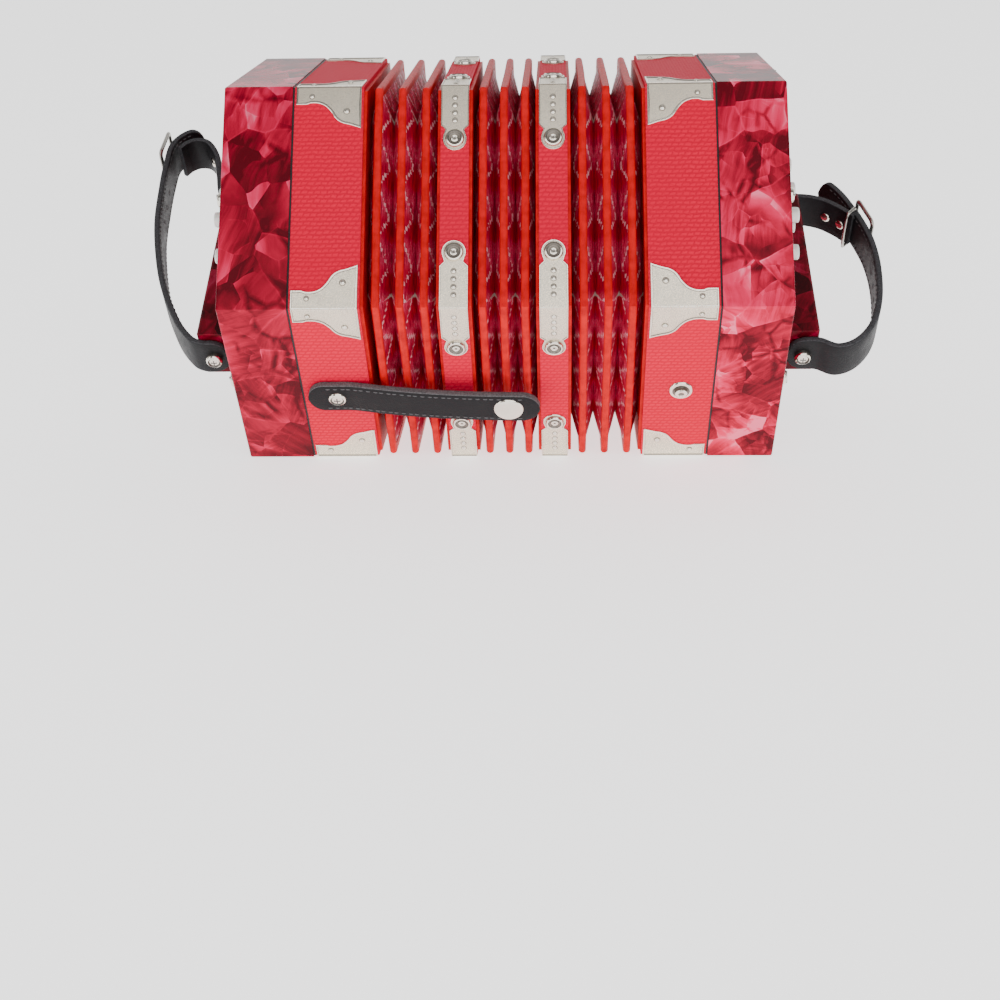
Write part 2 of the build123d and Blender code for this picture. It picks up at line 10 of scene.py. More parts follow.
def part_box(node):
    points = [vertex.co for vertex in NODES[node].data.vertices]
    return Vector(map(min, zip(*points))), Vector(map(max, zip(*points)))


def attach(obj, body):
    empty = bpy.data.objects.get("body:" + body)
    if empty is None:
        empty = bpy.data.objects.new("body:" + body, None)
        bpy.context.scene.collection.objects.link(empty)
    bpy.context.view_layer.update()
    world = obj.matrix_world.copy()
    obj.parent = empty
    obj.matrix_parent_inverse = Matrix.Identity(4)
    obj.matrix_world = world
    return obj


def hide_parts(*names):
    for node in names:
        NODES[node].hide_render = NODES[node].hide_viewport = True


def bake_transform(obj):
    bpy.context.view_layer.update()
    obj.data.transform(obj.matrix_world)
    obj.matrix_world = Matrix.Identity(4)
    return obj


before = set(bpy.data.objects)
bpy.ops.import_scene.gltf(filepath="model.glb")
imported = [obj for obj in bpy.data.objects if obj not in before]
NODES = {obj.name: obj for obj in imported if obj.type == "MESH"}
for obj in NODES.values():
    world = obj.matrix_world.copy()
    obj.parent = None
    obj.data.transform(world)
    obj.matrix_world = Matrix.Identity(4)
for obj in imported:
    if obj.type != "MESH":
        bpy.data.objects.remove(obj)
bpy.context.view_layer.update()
random.seed(11)

# Places are in millimetres in the shared row frame: x along the bellows, z up, the hexagon round AXIS.
MM = 0.001
HEX_SIDE = 95.0
HALF_FLAT = HEX_SIDE * math.sqrt(3) / 2
METAL = 0.6
SKIN = HALF_FLAT - METAL
BOX_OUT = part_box("end_box_right")[1].x / MM
FRAME_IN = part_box("bellows_frame_right")[0].x / MM
FRAME_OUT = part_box("bellows_frame_right")[1].x / MM
MID_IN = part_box("mid_frame_2")[0].x / MM
MID_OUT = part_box("mid_frame_2")[1].x / MM
ALONG = Vector((0, -math.sqrt(3) / 2, -0.5))
ACROSS = Vector((0, -0.5, math.sqrt(3) / 2))
AXIS = Vector((0, 0, HALF_FLAT))
RAIL_U = 8.0


# ---- materials


class Tree:
    """Small helper that builds one material's node tree."""

    def __init__(self, name, **values):
        self.mat = bpy.data.materials.new(name)
        self.mat.use_nodes = True
        self.nodes = self.mat.node_tree.nodes
        self.links = self.mat.node_tree.links
        self.bsdf = self.nodes["Principled BSDF"]
        for key, value in values.items():
            self.bsdf.inputs[key.replace("_", " ")].default_value = value

    def link(self, value, socket):
        if isinstance(value, bpy.types.NodeSocket):
            self.links.new(value, socket)
        else:
            socket.default_value = value

    def add(self, kind, out=0, settings=None, **inputs):
        node = self.nodes.new(kind)
        for key, value in (settings or {}).items():
            setattr(node, key, value)
        for key, value in inputs.items():
            name = key.replace("_", " ")
            by_index = name[0] == "i" and name[1:].isdigit()
            socket = node.inputs[int(name[1:]) if by_index else name]
            self.link(value, socket)
        return node.outputs[out]

    def math(self, operation, a, b=0.0, c=0.0):
        return self.add("ShaderNodeMath", 0, {"operation": operation}, i0=a, i1=b, i2=c)

    def mul(self, a, b):
        return self.math("MULTIPLY", a, b)

    def plus(self, a, b):
        return self.math("ADD", a, b)

    def minus(self, a, b):
        return self.math("SUBTRACT", a, b)

    def combine(self, x, y, z):
        return self.add("ShaderNodeCombineXYZ", X=x, Y=y, Z=z)

    def vmath(self, operation, a, b=(0, 0, 0), out=0):
        return self.add("ShaderNodeVectorMath", out, {"operation": operation}, i0=a, i1=b)

    def scale(self, a, factor):
        return self.add("ShaderNodeVectorMath", 0, {"operation": "SCALE"}, i0=a, Scale=factor)

    def place(self, scale=1000.0, stretch=(1, 1, 1)):
        """The piece's own coordinates, in millimetres unless scaled."""
        coord = self.nodes.new("ShaderNodeTexCoord").outputs["Object"]
        return self.vmath("MULTIPLY", coord, tuple(scale * s for s in stretch))

    def noise(self, vector, scale=1.0, detail=3.0, rough=0.55, out=0, distortion=0.0):
        return self.add("ShaderNodeTexNoise", out, None, Vector=vector, Scale=scale, Detail=detail,
                        Roughness=rough, Distortion=distortion)

    def voronoi(self, vector, feature="F1", scale=1.0, out="Distance"):
        return self.add("ShaderNodeTexVoronoi", out, {"feature": feature}, Vector=vector, Scale=scale)

    def ramp(self, value, stops):
        node = self.nodes.new("ShaderNodeValToRGB")
        elements = node.color_ramp.elements
        while len(elements) < len(stops):
            elements.new(0.5)
        for element, (place, colour) in zip(elements, stops):
            element.position = place
            element.color = (*colour, 1)
        self.link(value, node.inputs[0])
        return node.outputs[0]

    def mix(self, factor, a, b):
        a, b = ((*v, 1) if isinstance(v, tuple) else v for v in (a, b))
        return self.add("ShaderNodeMix", 2, {"data_type": "RGBA"}, i0=factor, i6=a, i7=b)

    def map(self, value, low, high, to_low=0.0, to_high=1.0):
        return self.add("ShaderNodeMapRange", 0, {"clamp": True}, i0=value, i1=low, i2=high,
                        i3=to_low, i4=to_high)

    def bump(self, height, strength, distance):
        return self.add("ShaderNodeBump", Strength=strength, Distance=distance, Height=height)

    def done(self, **inputs):
        for key, value in inputs.items():
            self.link(value, self.bsdf.inputs[key.replace("_", " ")])
        return self.mat


def pearl_material(name, gain, size, lively):
    """Celluloid pearl: crumpled straight-edged facets, each with silky streaks and its own fall of light."""
    t = Tree(name, Roughness=0.26, IOR=1.45, Specular_IOR_Level=0.10)
    p = t.place(1000.0 / size)
    warp = t.vmath("SUBTRACT", t.noise(p, 0.8, 2, 0.5, out=1), (0.5, 0.5, 0.5))
    wp = t.vmath("ADD", p, t.scale(warp, 0.30))

    def facets(at, scale):
        """Facet shade and edge closeness of one layer of creases."""
        colour = t.voronoi(at, "F1", scale, "Color")
        centre = t.voronoi(at, "F1", scale, "Position")
        edge = t.voronoi(at, "DISTANCE_TO_EDGE", scale)
        way = t.vmath("NORMALIZE", t.vmath("SUBTRACT", colour, (0.5, 0.5, 0.5)))
        local = t.vmath("SUBTRACT", at, centre)
        fall = t.mul(t.vmath("DOT_PRODUCT", local, way, out=1), scale)
        other = t.vmath("DOT_PRODUCT", local, t.vmath("CROSS_PRODUCT", way, (0.2, 0.6, 0.7)), out=1)
        level = t.add("ShaderNodeSeparateColor", 1, None, Color=colour)
        streak_at = t.combine(t.mul(fall, 1.1), t.mul(other, 9.0 * scale), t.mul(level, 40.0))
        streak = t.noise(streak_at, 1.0, 4, 0.6)
        return level, fall, edge, streak

    level, fall, edge, streak = facets(wp, 0.8)
    level2, fall2, edge2, streak2 = facets(t.vmath("ADD", wp, (7.3, 2.1, 4.4)), 1.9)
    where = t.map(t.noise(p, 0.7, 2), 0.42, 0.58)

    def folded(level, fall, streak, low):
        """Light along one side of each facet, shade along the other, silk between."""
        lit = t.math("POWER", t.map(fall, 0.05, 0.62), 1.6)
        dim = t.map(fall, -0.60, -0.10, 1.0, 0.0)
        shape = t.minus(t.mul(lit, 0.62), t.mul(dim, 0.34))
        shape = t.plus(shape, t.mul(t.minus(level, 0.5), 0.34))
        silk = t.math("MULTIPLY_ADD", streak, 0.95, low - 0.475)
        return t.plus(t.mul(shape, lively), silk)

    value = folded(level, fall, streak, 0.27)
    value2 = folded(level2, fall2, streak2, 0.0)
    value = t.plus(value, t.mul(t.mul(value2, where), 0.8))
    crease = t.mul(t.map(edge, 0.0, 0.035, 1.0, 0.0), t.map(t.noise(p, 1.3), 0.44, 0.56))
    crease2 = t.mul(t.map(edge2, 0.0, 0.03, 0.8, 0.0), t.map(t.noise(p, 2.1), 0.5, 0.6))
    value = t.plus(value, t.mul(t.math("MAXIMUM", crease, crease2), 0.20 * lively))
    cracks_at = t.vmath("ADD", t.vmath("MULTIPLY", wp, (1.0, 1.0, 0.8)), (3.1, 8.4, 5.2))
    cracks = t.voronoi(cracks_at, "DISTANCE_TO_EDGE", 1.35)
    shade = t.mul(t.map(cracks, 0.0, 0.10, 1.0, 0.0), t.map(t.noise(p, 1.0), 0.46, 0.58))
    value = t.minus(value, t.mul(shade, 0.42 * lively))
    value = t.plus(value, t.map(t.noise(p, 0.28, 2), 0.35, 0.65, -0.10, 0.14))
    colour = t.ramp(t.map(value, -0.25, 1.0), [
        (0.10, (0.045 * gain, 0.0004 * gain, 0.0030 * gain)),
        (0.32, (0.120 * gain, 0.0012 * gain, 0.0080 * gain)),
        (0.50, (0.230 * gain, 0.0022 * gain, 0.0170 * gain)),
        (0.66, (0.340 * gain, 0.0060 * gain, 0.0360 * gain)),
        (0.82, (0.390 * gain, 0.0180 * gain, 0.0560 * gain)),
        (1.00, (0.440 * gain, 0.0800 * gain, 0.1300 * gain)),
    ])
    tilt = t.plus(fall, t.mul(streak, 0.35))
    return t.done(Base_Color=colour, Normal=t.bump(tilt, 0.12, 0.0012),
                  Metallic=t.map(value, 0.1, 0.9, 0.05, 0.30))


DASH_ROW, DASH_PITCH = 1.9, 2.7


def vinyl_material():
    """Red leathercloth pressed with rows of short slanted dashes."""
    t = Tree("vinyl_red", IOR=1.4, Specular_IOR_Level=0.07)
    p = t.place()
    wob = t.scale(t.vmath("SUBTRACT", t.noise(p, 0.3, 2, out=1), (0.5, 0.5, 0.5)), 1.3)
    q = t.vmath("ADD", p, wob)
    facing = t.nodes.new("ShaderNodeNewGeometry").outputs["True Normal"]
    across = t.vmath("DOT_PRODUCT", q, t.vmath("CROSS_PRODUCT", (1.0, 0.0, 0.0), facing), out=1)
    row = t.math("DIVIDE", across, DASH_ROW)
    in_row = t.math("FRACT", row)
    x = t.add("ShaderNodeSeparateXYZ", 0, None, Vector=q)
    cell = t.plus(t.math("DIVIDE", x, DASH_PITCH), t.mul(t.math("FLOOR", row), 0.5))
    in_cell = t.math("FRACT", t.plus(cell, t.mul(in_row, 0.3)))
    tall = t.minus(1.0, t.math("ABSOLUTE", t.math("MULTIPLY_ADD", in_row, 2.0, -1.0)))
    wide = t.minus(1.0, t.math("ABSOLUTE", t.math("MULTIPLY_ADD", in_cell, 2.0, -1.0)))
    dash = t.mul(t.map(tall, 0.15, 0.75), t.map(wide, 0.05, 0.40))
    fine = t.noise(p, 2.6, 2)
    height = t.plus(dash, t.mul(fine, 0.30))
    base = t.mix(dash, (0.60, 0.0008, 0.030), (0.78, 0.0014, 0.042))
    base = t.mix(t.map(t.noise(p, 0.035, 3), 0.35, 0.7, 0.0, 0.35), base, (0.64, 0.0010, 0.033))
    return t.done(Base_Color=base, Normal=t.bump(height, 0.34, 0.00030),
                  Roughness=t.map(dash, 0.0, 1.0, 0.62, 0.42))


def metal_material(name, colour=(0.84, 0.745, 0.600), rough=0.3, speckle=0.5, grain=1.0):
    """Satin nickel plate with a fine orange-peel and faint tarnish."""
    t = Tree(name, Metallic=1.0)
    p = t.place()
    fine = t.noise(p, 2.2, 3)
    broad = t.noise(p, 0.11, 3)
    base = t.mix(t.map(broad, 0.35, 0.7, 0.0, 0.55), colour, tuple(c * 0.82 for c in colour))
    base = t.mix(t.map(fine, 0.42, 0.64, 0.0, 0.7), base, tuple(c * 0.62 for c in colour))
    return t.done(Base_Color=base, Normal=t.bump(fine, 0.12 * speckle, 0.0002 * grain),
                  Roughness=t.map(fine, 0.3, 0.7, rough * 0.8, rough * 1.35))


def leather_material(name, colour=(0.0050, 0.0046, 0.0056), rough=0.42, edge=False):
    """Black bridle leather with fine grain and slight scuffing."""
    t = Tree(name, IOR=1.48, Specular_IOR_Level=0.20)
    p = t.place()
    grain = t.voronoi(t.vmath("ADD", p, t.scale(t.noise(p, 0.5, 2, out=1), 1.5)), "DISTANCE_TO_EDGE", 1.15)
    scuff = t.noise(p, 0.12, 5, 0.65)
    pale = tuple(c * (2.0 if edge else 2.4) for c in colour)
    base = t.mix(t.map(scuff, 0.42, 0.75, 0.0, 0.6), colour, pale)
    if edge:
        layers = t.noise(p, 1.4, 4, 0.7)
        base = t.mix(t.map(layers, 0.35, 0.7), base, tuple(c * 3.2 for c in colour))
    height = t.plus(t.map(grain, 0.0, 0.25), t.mul(t.noise(p, 2.5, 3), 0.4))
    return t.done(Base_Color=base, Normal=t.bump(height, 0.32, 0.00018),
                  Roughness=t.map(scuff, 0.3, 0.75, rough, rough + 0.2))


def cloth_band_material():
    """Orange-red book cloth glued over the ridges, with fine grain and patchy wear."""
    t = Tree("ridge_cloth", Roughness=0.40, IOR=1.42, Specular_IOR_Level=0.10)
    p = t.place()
    fine = t.noise(p, 3.0, 3)
    wear = t.noise(p, 0.22, 4)
    base = t.mix(t.map(wear, 0.35, 0.7), (0.66, 0.0040, 0.0075), (0.42, 0.0012, 0.0040))
    return t.done(Base_Color=base, Normal=t.bump(t.plus(fine, wear), 0.30, 0.0003))


# Fold paper, in centimetres: between bursts, steps of its line, half the line's width.
BURST_PITCH, STEPS_PER_CM, LINE_HALF = 2.2, 5.5, 0.011


def fold_paper_material():
    """Glossy crimson paper with pearl bursts, silver stepped lines, and grey leather at the corners.

    The map's first axis runs along the hexagon side in centimetres from its middle, the second
    runs down the card from the ridge in centimetres.
    """
    t = Tree("fold_paper", IOR=1.45, Specular_IOR_Level=0.07)
    uv = t.add("ShaderNodeUVMap", 0, {"uv_map": "fold"})
    along = t.add("ShaderNodeSeparateXYZ", 0, None, Vector=uv)
    down = t.add("ShaderNodeSeparateXYZ", 1, None, Vector=uv)
    p = t.place()
    fibre_at = t.combine(t.mul(along, 1.6), t.mul(down, 16.0), t.mul(t.noise(p, 0.03), 3.0))
    fibres = t.noise(fibre_at, 1.0, 3, 0.6)
    # Bursts of pale dashes repeat along the side.
    turn = t.math("FRACT", t.plus(t.math("DIVIDE", along, BURST_PITCH), 0.5))
    phase = t.mul(t.minus(turn, 0.5), BURST_PITCH)
    near = t.map(t.math("ABSOLUTE", phase), 0.15, 0.75, 1.0, 0.0)
    burst = t.mul(near, t.map(fibres, 0.40, 0.66))
    dash_at = t.combine(t.mul(along, 7.0), t.mul(down, 26.0), 0.0)
    dash = t.map(t.noise(dash_at, 1.0, 2), 0.56, 0.68)
    base = t.mix(t.map(fibres, 0.3, 0.7), (0.200, 0.002, 0.018), (0.760, 0.010, 0.070))
    base = t.mix(t.mul(burst, 0.75), base, (0.92, 0.09, 0.27))
    base = t.mix(t.mul(t.mul(burst, dash), 0.9), base, (0.95, 0.72, 0.80))
    # Stepped zigzag line between bursts: treads and risers are the same wave, one shifted along.
    def zigzag(tread):
        step = t.math("DIVIDE", t.math("FLOOR", tread), STEPS_PER_CM)
        wave = t.math("PINGPONG", t.plus(step, BURST_PITCH / 4), BURST_PITCH / 2)
        return t.plus(t.mul(wave, 1.05), 0.12)

    treads = t.mul(along, STEPS_PER_CM)
    wave, riser = zigzag(treads), zigzag(t.plus(treads, 0.93))
    low = t.minus(t.math("MINIMUM", wave, riser), LINE_HALF)
    high = t.plus(t.math("MAXIMUM", wave, riser), LINE_HALF)
    line = t.mul(t.math("GREATER_THAN", down, low), t.math("LESS_THAN", down, high))
    line = t.mul(line, t.map(t.noise(p, 0.45, 2), 0.42, 0.52))
    base = t.mix(t.mul(line, 0.85), base, (0.95, 0.62, 0.66))
    # Grey corner leather shows where the fold deepens.
    from_corner = t.minus(4.62, t.math("ABSOLUTE", along))
    reach = t.mul(t.minus(down, 0.26), 0.72)
    torn = t.mul(t.minus(t.noise(p, 0.5, 3), 0.5), 0.22)
    gusset = t.map(t.minus(t.plus(reach, torn), from_corner), -0.02, 0.03)
    hide = t.mix(t.noise(p, 0.9, 4), (0.36, 0.32, 0.28), (0.80, 0.74, 0.66))
    base = t.mix(gusset, base, hide)
    rough = t.mix(gusset, (0.38, 0.38, 0.38), (0.75, 0.75, 0.75))
    height = t.plus(t.mul(fibres, 0.35), t.mul(gusset, 0.8))
    return t.done(Base_Color=base, Roughness=rough, Normal=t.bump(height, 0.35, 0.0003))


def wood_material(name, light=(0.50, 0.33, 0.18), dark=(0.30, 0.17, 0.08), stretch=(1, 0.08, 1)):
    t = Tree(name, Roughness=0.6)
    p = t.place(stretch=stretch)
    grain = t.noise(p, 0.5, 5, 0.6, distortion=1.2)
    pore = t.noise(p, 2.8, 3)
    base = t.mix(t.map(grain, 0.35, 0.68), dark, light)
    base = t.mix(t.map(pore, 0.6, 0.72, 0.0, 0.5), base, tuple(c * 0.55 for c in dark))
    return t.done(Base_Color=base, Normal=t.bump(pore, 0.2, 0.0002))


def felt_material(name, colour):
    t = Tree(name, Roughness=0.95)
    t.bsdf.inputs["Sheen Weight"].default_value = 0.3
    p = t.place()
    fuzz = t.noise(p, 1.6, 5, 0.7)
    base = t.mix(fuzz, tuple(c * 0.6 for c in colour), tuple(min(1.0, c * 1.35) for c in colour))
    return t.done(Base_Color=base, Normal=t.bump(fuzz, 0.5, 0.0003))


def button_material():
    t = Tree("button_white", Roughness=0.16, IOR=1.5)
    t.bsdf.inputs["Subsurface Weight"].default_value = 0.08
    p = t.place()
    cloud = t.noise(p, 0.25, 3)
    base = t.mix(t.map(cloud, 0.35, 0.7), (0.88, 0.87, 0.84), (0.78, 0.77, 0.72))
    return t.done(Base_Color=base, Normal=t.bump(t.noise(p, 1.2, 2), 0.05, 0.0002))


def thread_material():
    t = Tree("stitch_thread", Roughness=0.7)
    p = t.place()
    twist = t.noise(p, 4.0, 2)
    base = t.mix(twist, (0.035, 0.035, 0.037), (0.110, 0.110, 0.115))
    return t.done(Base_Color=base, Normal=t.bump(twist, 0.4, 0.0002))


# The left box's pearl has a lower gain than the right's, painted shade on the left end; its larger, calmer
# facets are the sheet's own pattern.
PEARL = {
    "left": pearl_material("pearl_left", 1.9, 20.0, 0.85),
    "right": pearl_material("pearl_right", 2.1, 15.0, 1.0),
}
PEARL_PLATE = pearl_material("pearl_plate", 1.4, 15.0, 0.8)
# Painted shade: the handrail's pearl is a darker copy of the same celluloid.
PEARL_RAIL_SHADED = pearl_material("pearl_rail", 0.8, 15.0, 0.7)
VINYL = vinyl_material()
NICKEL = metal_material("nickel_satin", rough=0.30, speckle=1.6)
BRIGHT = metal_material("nickel_bright", (0.92, 0.85, 0.74), 0.14, 0.3)
# Painted shade: dark nickel for the hollows of rivets and the snap stud, the feet of domes and nails, and the
# rims' inner bevels.
GROOVE_SHADE = metal_material("nickel_painted_shade", (0.26, 0.23, 0.20), 0.42, 0.6)
BUCKLE_METAL = metal_material("buckle_metal", (0.50, 0.48, 0.44), 0.26, 0.8)
LEATHER = leather_material("strap_leather")
LEATHER_EDGE = leather_material("strap_edge", (0.024, 0.024, 0.026), 0.62, edge=True)
BAND_LEATHER = leather_material("band_leather", (0.0055, 0.0050, 0.0060), 0.5)
BAND_EDGE = leather_material("band_edge", (0.050, 0.048, 0.050), 0.66, edge=True)
THREAD = thread_material()
RIDGE_CLOTH = cloth_band_material()
PAPER = fold_paper_material()
PLYWOOD = wood_material("board_wood")
PAN_WOOD = wood_material("pan_wood", (0.55, 0.38, 0.22), (0.36, 0.22, 0.11))
BRASS = metal_material("reed_brass", (0.72, 0.50, 0.20), 0.28, 0.5)
SPRING = metal_material("spring_brass", (0.66, 0.46, 0.18), 0.2, 0.3)
ALUMINIUM = metal_material("lever_aluminium", (0.62, 0.62, 0.62), 0.34, 0.8)
GASKET = felt_material("gasket_felt", (0.010, 0.009, 0.010))
PAD_FELT = felt_material("pad_leather", (0.62, 0.52, 0.40))
BUTTON = button_material()
# Painted shade: dark metal for screw slots, cross recesses and the inner slopes of the cup washers.
SCREW_SHADE = metal_material("screw_slot_shade", (0.20, 0.19, 0.18), 0.4, 0.5)


# ---- mesh helpers


def smooth(obj, angle=32.0):
    mesh = obj.data
    mesh.polygons.foreach_set("use_smooth", [True] * len(mesh.polygons))
    mesh.set_sharp_from_angle(angle=math.radians(angle))
    mesh.update()


def build(name, verts, faces, mats, slots=None, angle=32.0, uvs=None):
    """Mesh object from millimetre coordinates in the row frame; with uvs, its doubled points are welded."""
    mesh = bpy.data.meshes.new(name)
    mesh.from_pydata([Vector(v) * MM for v in verts], [], faces)
    if uvs:
        layer = mesh.uv_layers.new(name="fold")
        for loop in mesh.loops:
            layer.data[loop.index].uv = uvs[loop.vertex_index]
    for m in mats:
        mesh.materials.append(m)
    if slots:
        mesh.polygons.foreach_set("material_index", slots)
    obj = bpy.data.objects.new(name, mesh)
    bpy.context.scene.collection.objects.link(obj)
    bm = bmesh.new()
    bm.from_mesh(mesh)
    if uvs:
        bmesh.ops.remove_doubles(bm, verts=bm.verts, dist=0.00001)
    bmesh.ops.recalc_face_normals(bm, faces=bm.faces)
    bm.to_mesh(mesh)
    bm.free()
    smooth(obj, angle)
    return obj


def tube(stations, closed_path=False, caps=True):
    """Verts and faces of a skin through stations, each a closed run of the same number of points."""
    n = len(stations[0])
    verts = [p for s in stations for p in s]
    faces = []
    count = len(stations)
    for i in range(count if closed_path else count - 1):
        j = (i + 1) % count
        for k in range(n):
            m = (k + 1) % n
            faces.append((i * n + k, i * n + m, j * n + m, j * n + k))
    if caps and not closed_path:
        faces.append(tuple(range(n)))
        faces.append(tuple((count - 1) * n + k for k in range(n)))
    return verts, faces


class Mesh:
    """Collects several closed pieces into one object."""

    def __init__(self):
        self.verts, self.faces, self.slots = [], [], []

    def add(self, verts, faces, slot=0):
        base = len(self.verts)
        self.verts.extend(verts)
        self.faces.extend(tuple(base + i for i in f) for f in faces)
        self.slots.extend(slot if isinstance(slot, list) else [slot] * len(faces))

    def make(self, name, mats, angle):
        return build(name, self.verts, self.faces, mats, self.slots, angle)


def basis(normal):
    normal = Vector(normal).normalized()
    side = Vector((0, 0, 1)) if abs(normal.z) < 0.9 else Vector((1, 0, 0))
    a = side.cross(normal).normalized()
    return a, normal.cross(a), normal


def turns(count):
    return [2 * math.pi * i / count for i in range(count)]


def oval(mid, a, b, radius_a, radius_b, count):
    """Closed run of points round mid in the plane of a and b."""
    return [mid + a * (radius_a * math.cos(t)) + b * (radius_b * math.sin(t)) for t in turns(count)]


def lathe(centre, normal, profile, segments=40):
    """Closed turned piece: profile is a run of (radius, height) starting and ending on the axis."""
    a, b, n = basis(normal)
    centre = Vector(centre)
    verts, rings = [], []
    for r, h in profile:
        if r < 1e-6:
            rings.append([len(verts)])
            verts.append(centre + n * h)
        else:
            rings.append(list(range(len(verts), len(verts) + segments)))
            for k in range(segments):
                t = 2 * math.pi * k / segments
                verts.append(centre + a * (r * math.cos(t)) + b * (r * math.sin(t)) + n * h)
    faces = []
    for lo, hi in zip(rings, rings[1:]):
        for k in range(segments):
            m = (k + 1) % segments
            if len(lo) == 1 and len(hi) > 1:
                faces.append((lo[0], hi[k], hi[m]))
            elif len(hi) == 1 and len(lo) > 1:
                faces.append((lo[k], lo[m], hi[0]))
            elif len(lo) > 1:
                faces.append((lo[k], lo[m], hi[m], hi[k]))
    return verts, faces


def turned(bag, centre, normal, profile, dark, segments):
    """Adds a turned piece, with the named steps of its profile in the second material, which is painted shade.
    """
    slots = [int(i in dark) for i in range(len(profile) - 1) for _ in range(segments)]
    bag.add(*lathe(centre, normal, profile, segments), slots)


def slab_box(centre, axes, sizes):
    """Box from its centre, three unit axes and three full sizes."""
    verts = []
    for corner in itertools.product((-0.5, 0.5), repeat=3):
        reach = (Vector(axis) * (s * size) for axis, s, size in zip(axes, corner, sizes))
        verts.append(Vector(centre) + sum(reach, Vector()))
    return verts, [(0, 1, 3, 2), (4, 6, 7, 5), (0, 4, 5, 1), (2, 3, 7, 6), (0, 2, 6, 4), (1, 5, 7, 3)]


def spline(control, steps=14):
    """Smooth run of 2-D points through the control points."""
    pts = [Vector(control[0])] + [Vector(p) for p in control] + [Vector(control[-1])]
    run = []
    for i in range(1, len(pts) - 2):
        p0, p1, p2, p3 = pts[i - 1], pts[i], pts[i + 1], pts[i + 2]
        for k in range(steps):
            t = k / steps
            run.append(0.5 * (2 * p1 + (p2 - p0) * t + (2 * p0 - 5 * p1 + 4 * p2 - p3) * t**2
                              + (3 * p1 - p0 - 3 * p2 + p3) * t**3))
    run.append(pts[-2])
    return run


def even(run, gap):
    """Points spaced evenly along a run, with their distance from its start."""
    out, left = [(run[0].copy(), 0.0)], gap
    walked = 0.0
    for p, q in zip(run, run[1:]):
        length = (q - p).length
        at = left
        while at <= length:
            out.append((p.lerp(q, at / length), walked + at))
            at += gap
        left = at - length
        walked += length
    if (out[-1][0] - run[-1]).length > gap * 0.3:
        out.append((run[-1].copy(), walked))
    else:
        out[-1] = (run[-1].copy(), walked)
    return out


def hex_corner(k, corner_radius, x):
    t = math.radians(60 * k)
    return Vector((x, corner_radius * math.cos(t), HALF_FLAT + corner_radius * math.sin(t)))


# ---- straps


def lay(plane_point, run):
    """Frames along a 2-D run: place, way along and distance along, lifted to the row frame by plane_point."""
    frames = []
    for i, (p, s) in enumerate(run):
        q0 = run[max(i - 1, 0)][0]
        q1 = run[min(i + 1, len(run) - 1)][0]
        way = (q1 - q0).normalized()
        place = plane_point(p)
        ahead = (plane_point(p + way) - place).normalized()
        frames.append((place, ahead, s))
    return frames


STITCH_PITCH, STITCH_FROM, STITCH_INSET = 2.9, 9.0, 2.0
# Place along the stitch and radius at each station along one stitch.
STITCH = ((-0.95, 0.10), (-0.7, 0.26), (0.0, 0.32), (0.7, 0.26), (0.95, 0.10))


def strap(name, control, lift, side, width, thick, mats, ends, stitch=True, gap=1.0, crown=0.35):
    """Leather strap along a path, with rounded ends, softened edges and a row of stitches near each edge.

    lift turns a 2-D path point into the row frame and side is the unit vector across the strap.
    """
    run = even(spline(control), gap)
    total = run[-1][1]
    frames = lay(lift, run)
    stations, marks = [], []
    side = Vector(side)
    for place, ahead, s in frames:
        normal = side.cross(ahead).normalized()
        half = width / 2
        for end, from_end in ((ends[0], s), (ends[1], total - s)):
            if end and from_end < end:
                half = min(half, width / 2 * math.sqrt(max(0.02, 1 - ((end - from_end) / end) ** 2)))
        t = thick / 2
        soft = min(0.7, half * 0.4)
        profile = []
        for sx, sy in ((1, 1), (-1, 1), (-1, -1), (1, -1)):
            for a in range(4):
                turn = math.radians(30 * a)
                if sx * sy < 0:
                    turn = math.radians(90 - 30 * a)
                profile.append((sx * (half - soft + soft * math.cos(turn)),
                                sy * (t - soft + soft * math.sin(turn))))
        # Extra points across the outer and inner faces give them a slight crown.
        outer = [(x, t + crown * (1 - (x / half) ** 2) * 0.5) for x in (half * 0.5, 0.0, -half * 0.5)]
        inner = [(x, -t) for x in (-half * 0.5, 0.0, half * 0.5)]
        order = profile[0:4] + outer + profile[4:8] + profile[8:12] + inner + profile[12:16]
        stations.append([place + side * x + normal * y for x, y in order])
        marks.append((place, ahead, normal, s, half))
    verts, faces = tube(stations)
    n = len(stations[0])
    slots = []
    for i in range(len(stations) - 1):
        for k in range(n):
            x0 = (stations[i][k] - marks[i][0]).dot(side)
            x1 = (stations[i][(k + 1) % n] - marks[i][0]).dot(side)
            slots.append(1 if min(abs(x0), abs(x1)) > marks[i][4] - 0.45 else 0)
    slots += [1, 1]
    made = [build(name, verts, faces, mats, slots, 50.0)]
    if stitch:
        bag = Mesh()
        at = STITCH_FROM
        while at < total - 6:
            j = min(range(len(marks)), key=lambda m: abs(marks[m][3] - at))
            place, ahead, normal, _, half = marks[j]
            at += STITCH_PITCH
            if half < width / 2 - 0.2:
                continue
            above = normal * (thick / 2 + crown * 0.2 + 0.05)
            for sx in (-1, 1):
                centre = place + side * (sx * (half - STITCH_INSET)) + above
                bag.add(*tube([[centre + ahead * e + side * (r * math.cos(a))
                                + normal * (r * math.sin(a) * 0.8 - abs(e) * 0.12)
                                for a in turns(6)] for e, r in STITCH]))
        made.append(bag.make(name + "_stitches", [THREAD], 60.0))
    return made, marks


def rail_lift(sign, u):
    """Turns (v, x) in the plane at u into the row frame, on the right (+1) or left (-1) end."""
    def lift(p):
        return AXIS + ALONG * p[0] + ACROSS * u + Vector((sign * p[1], 0, 0))
    return lift


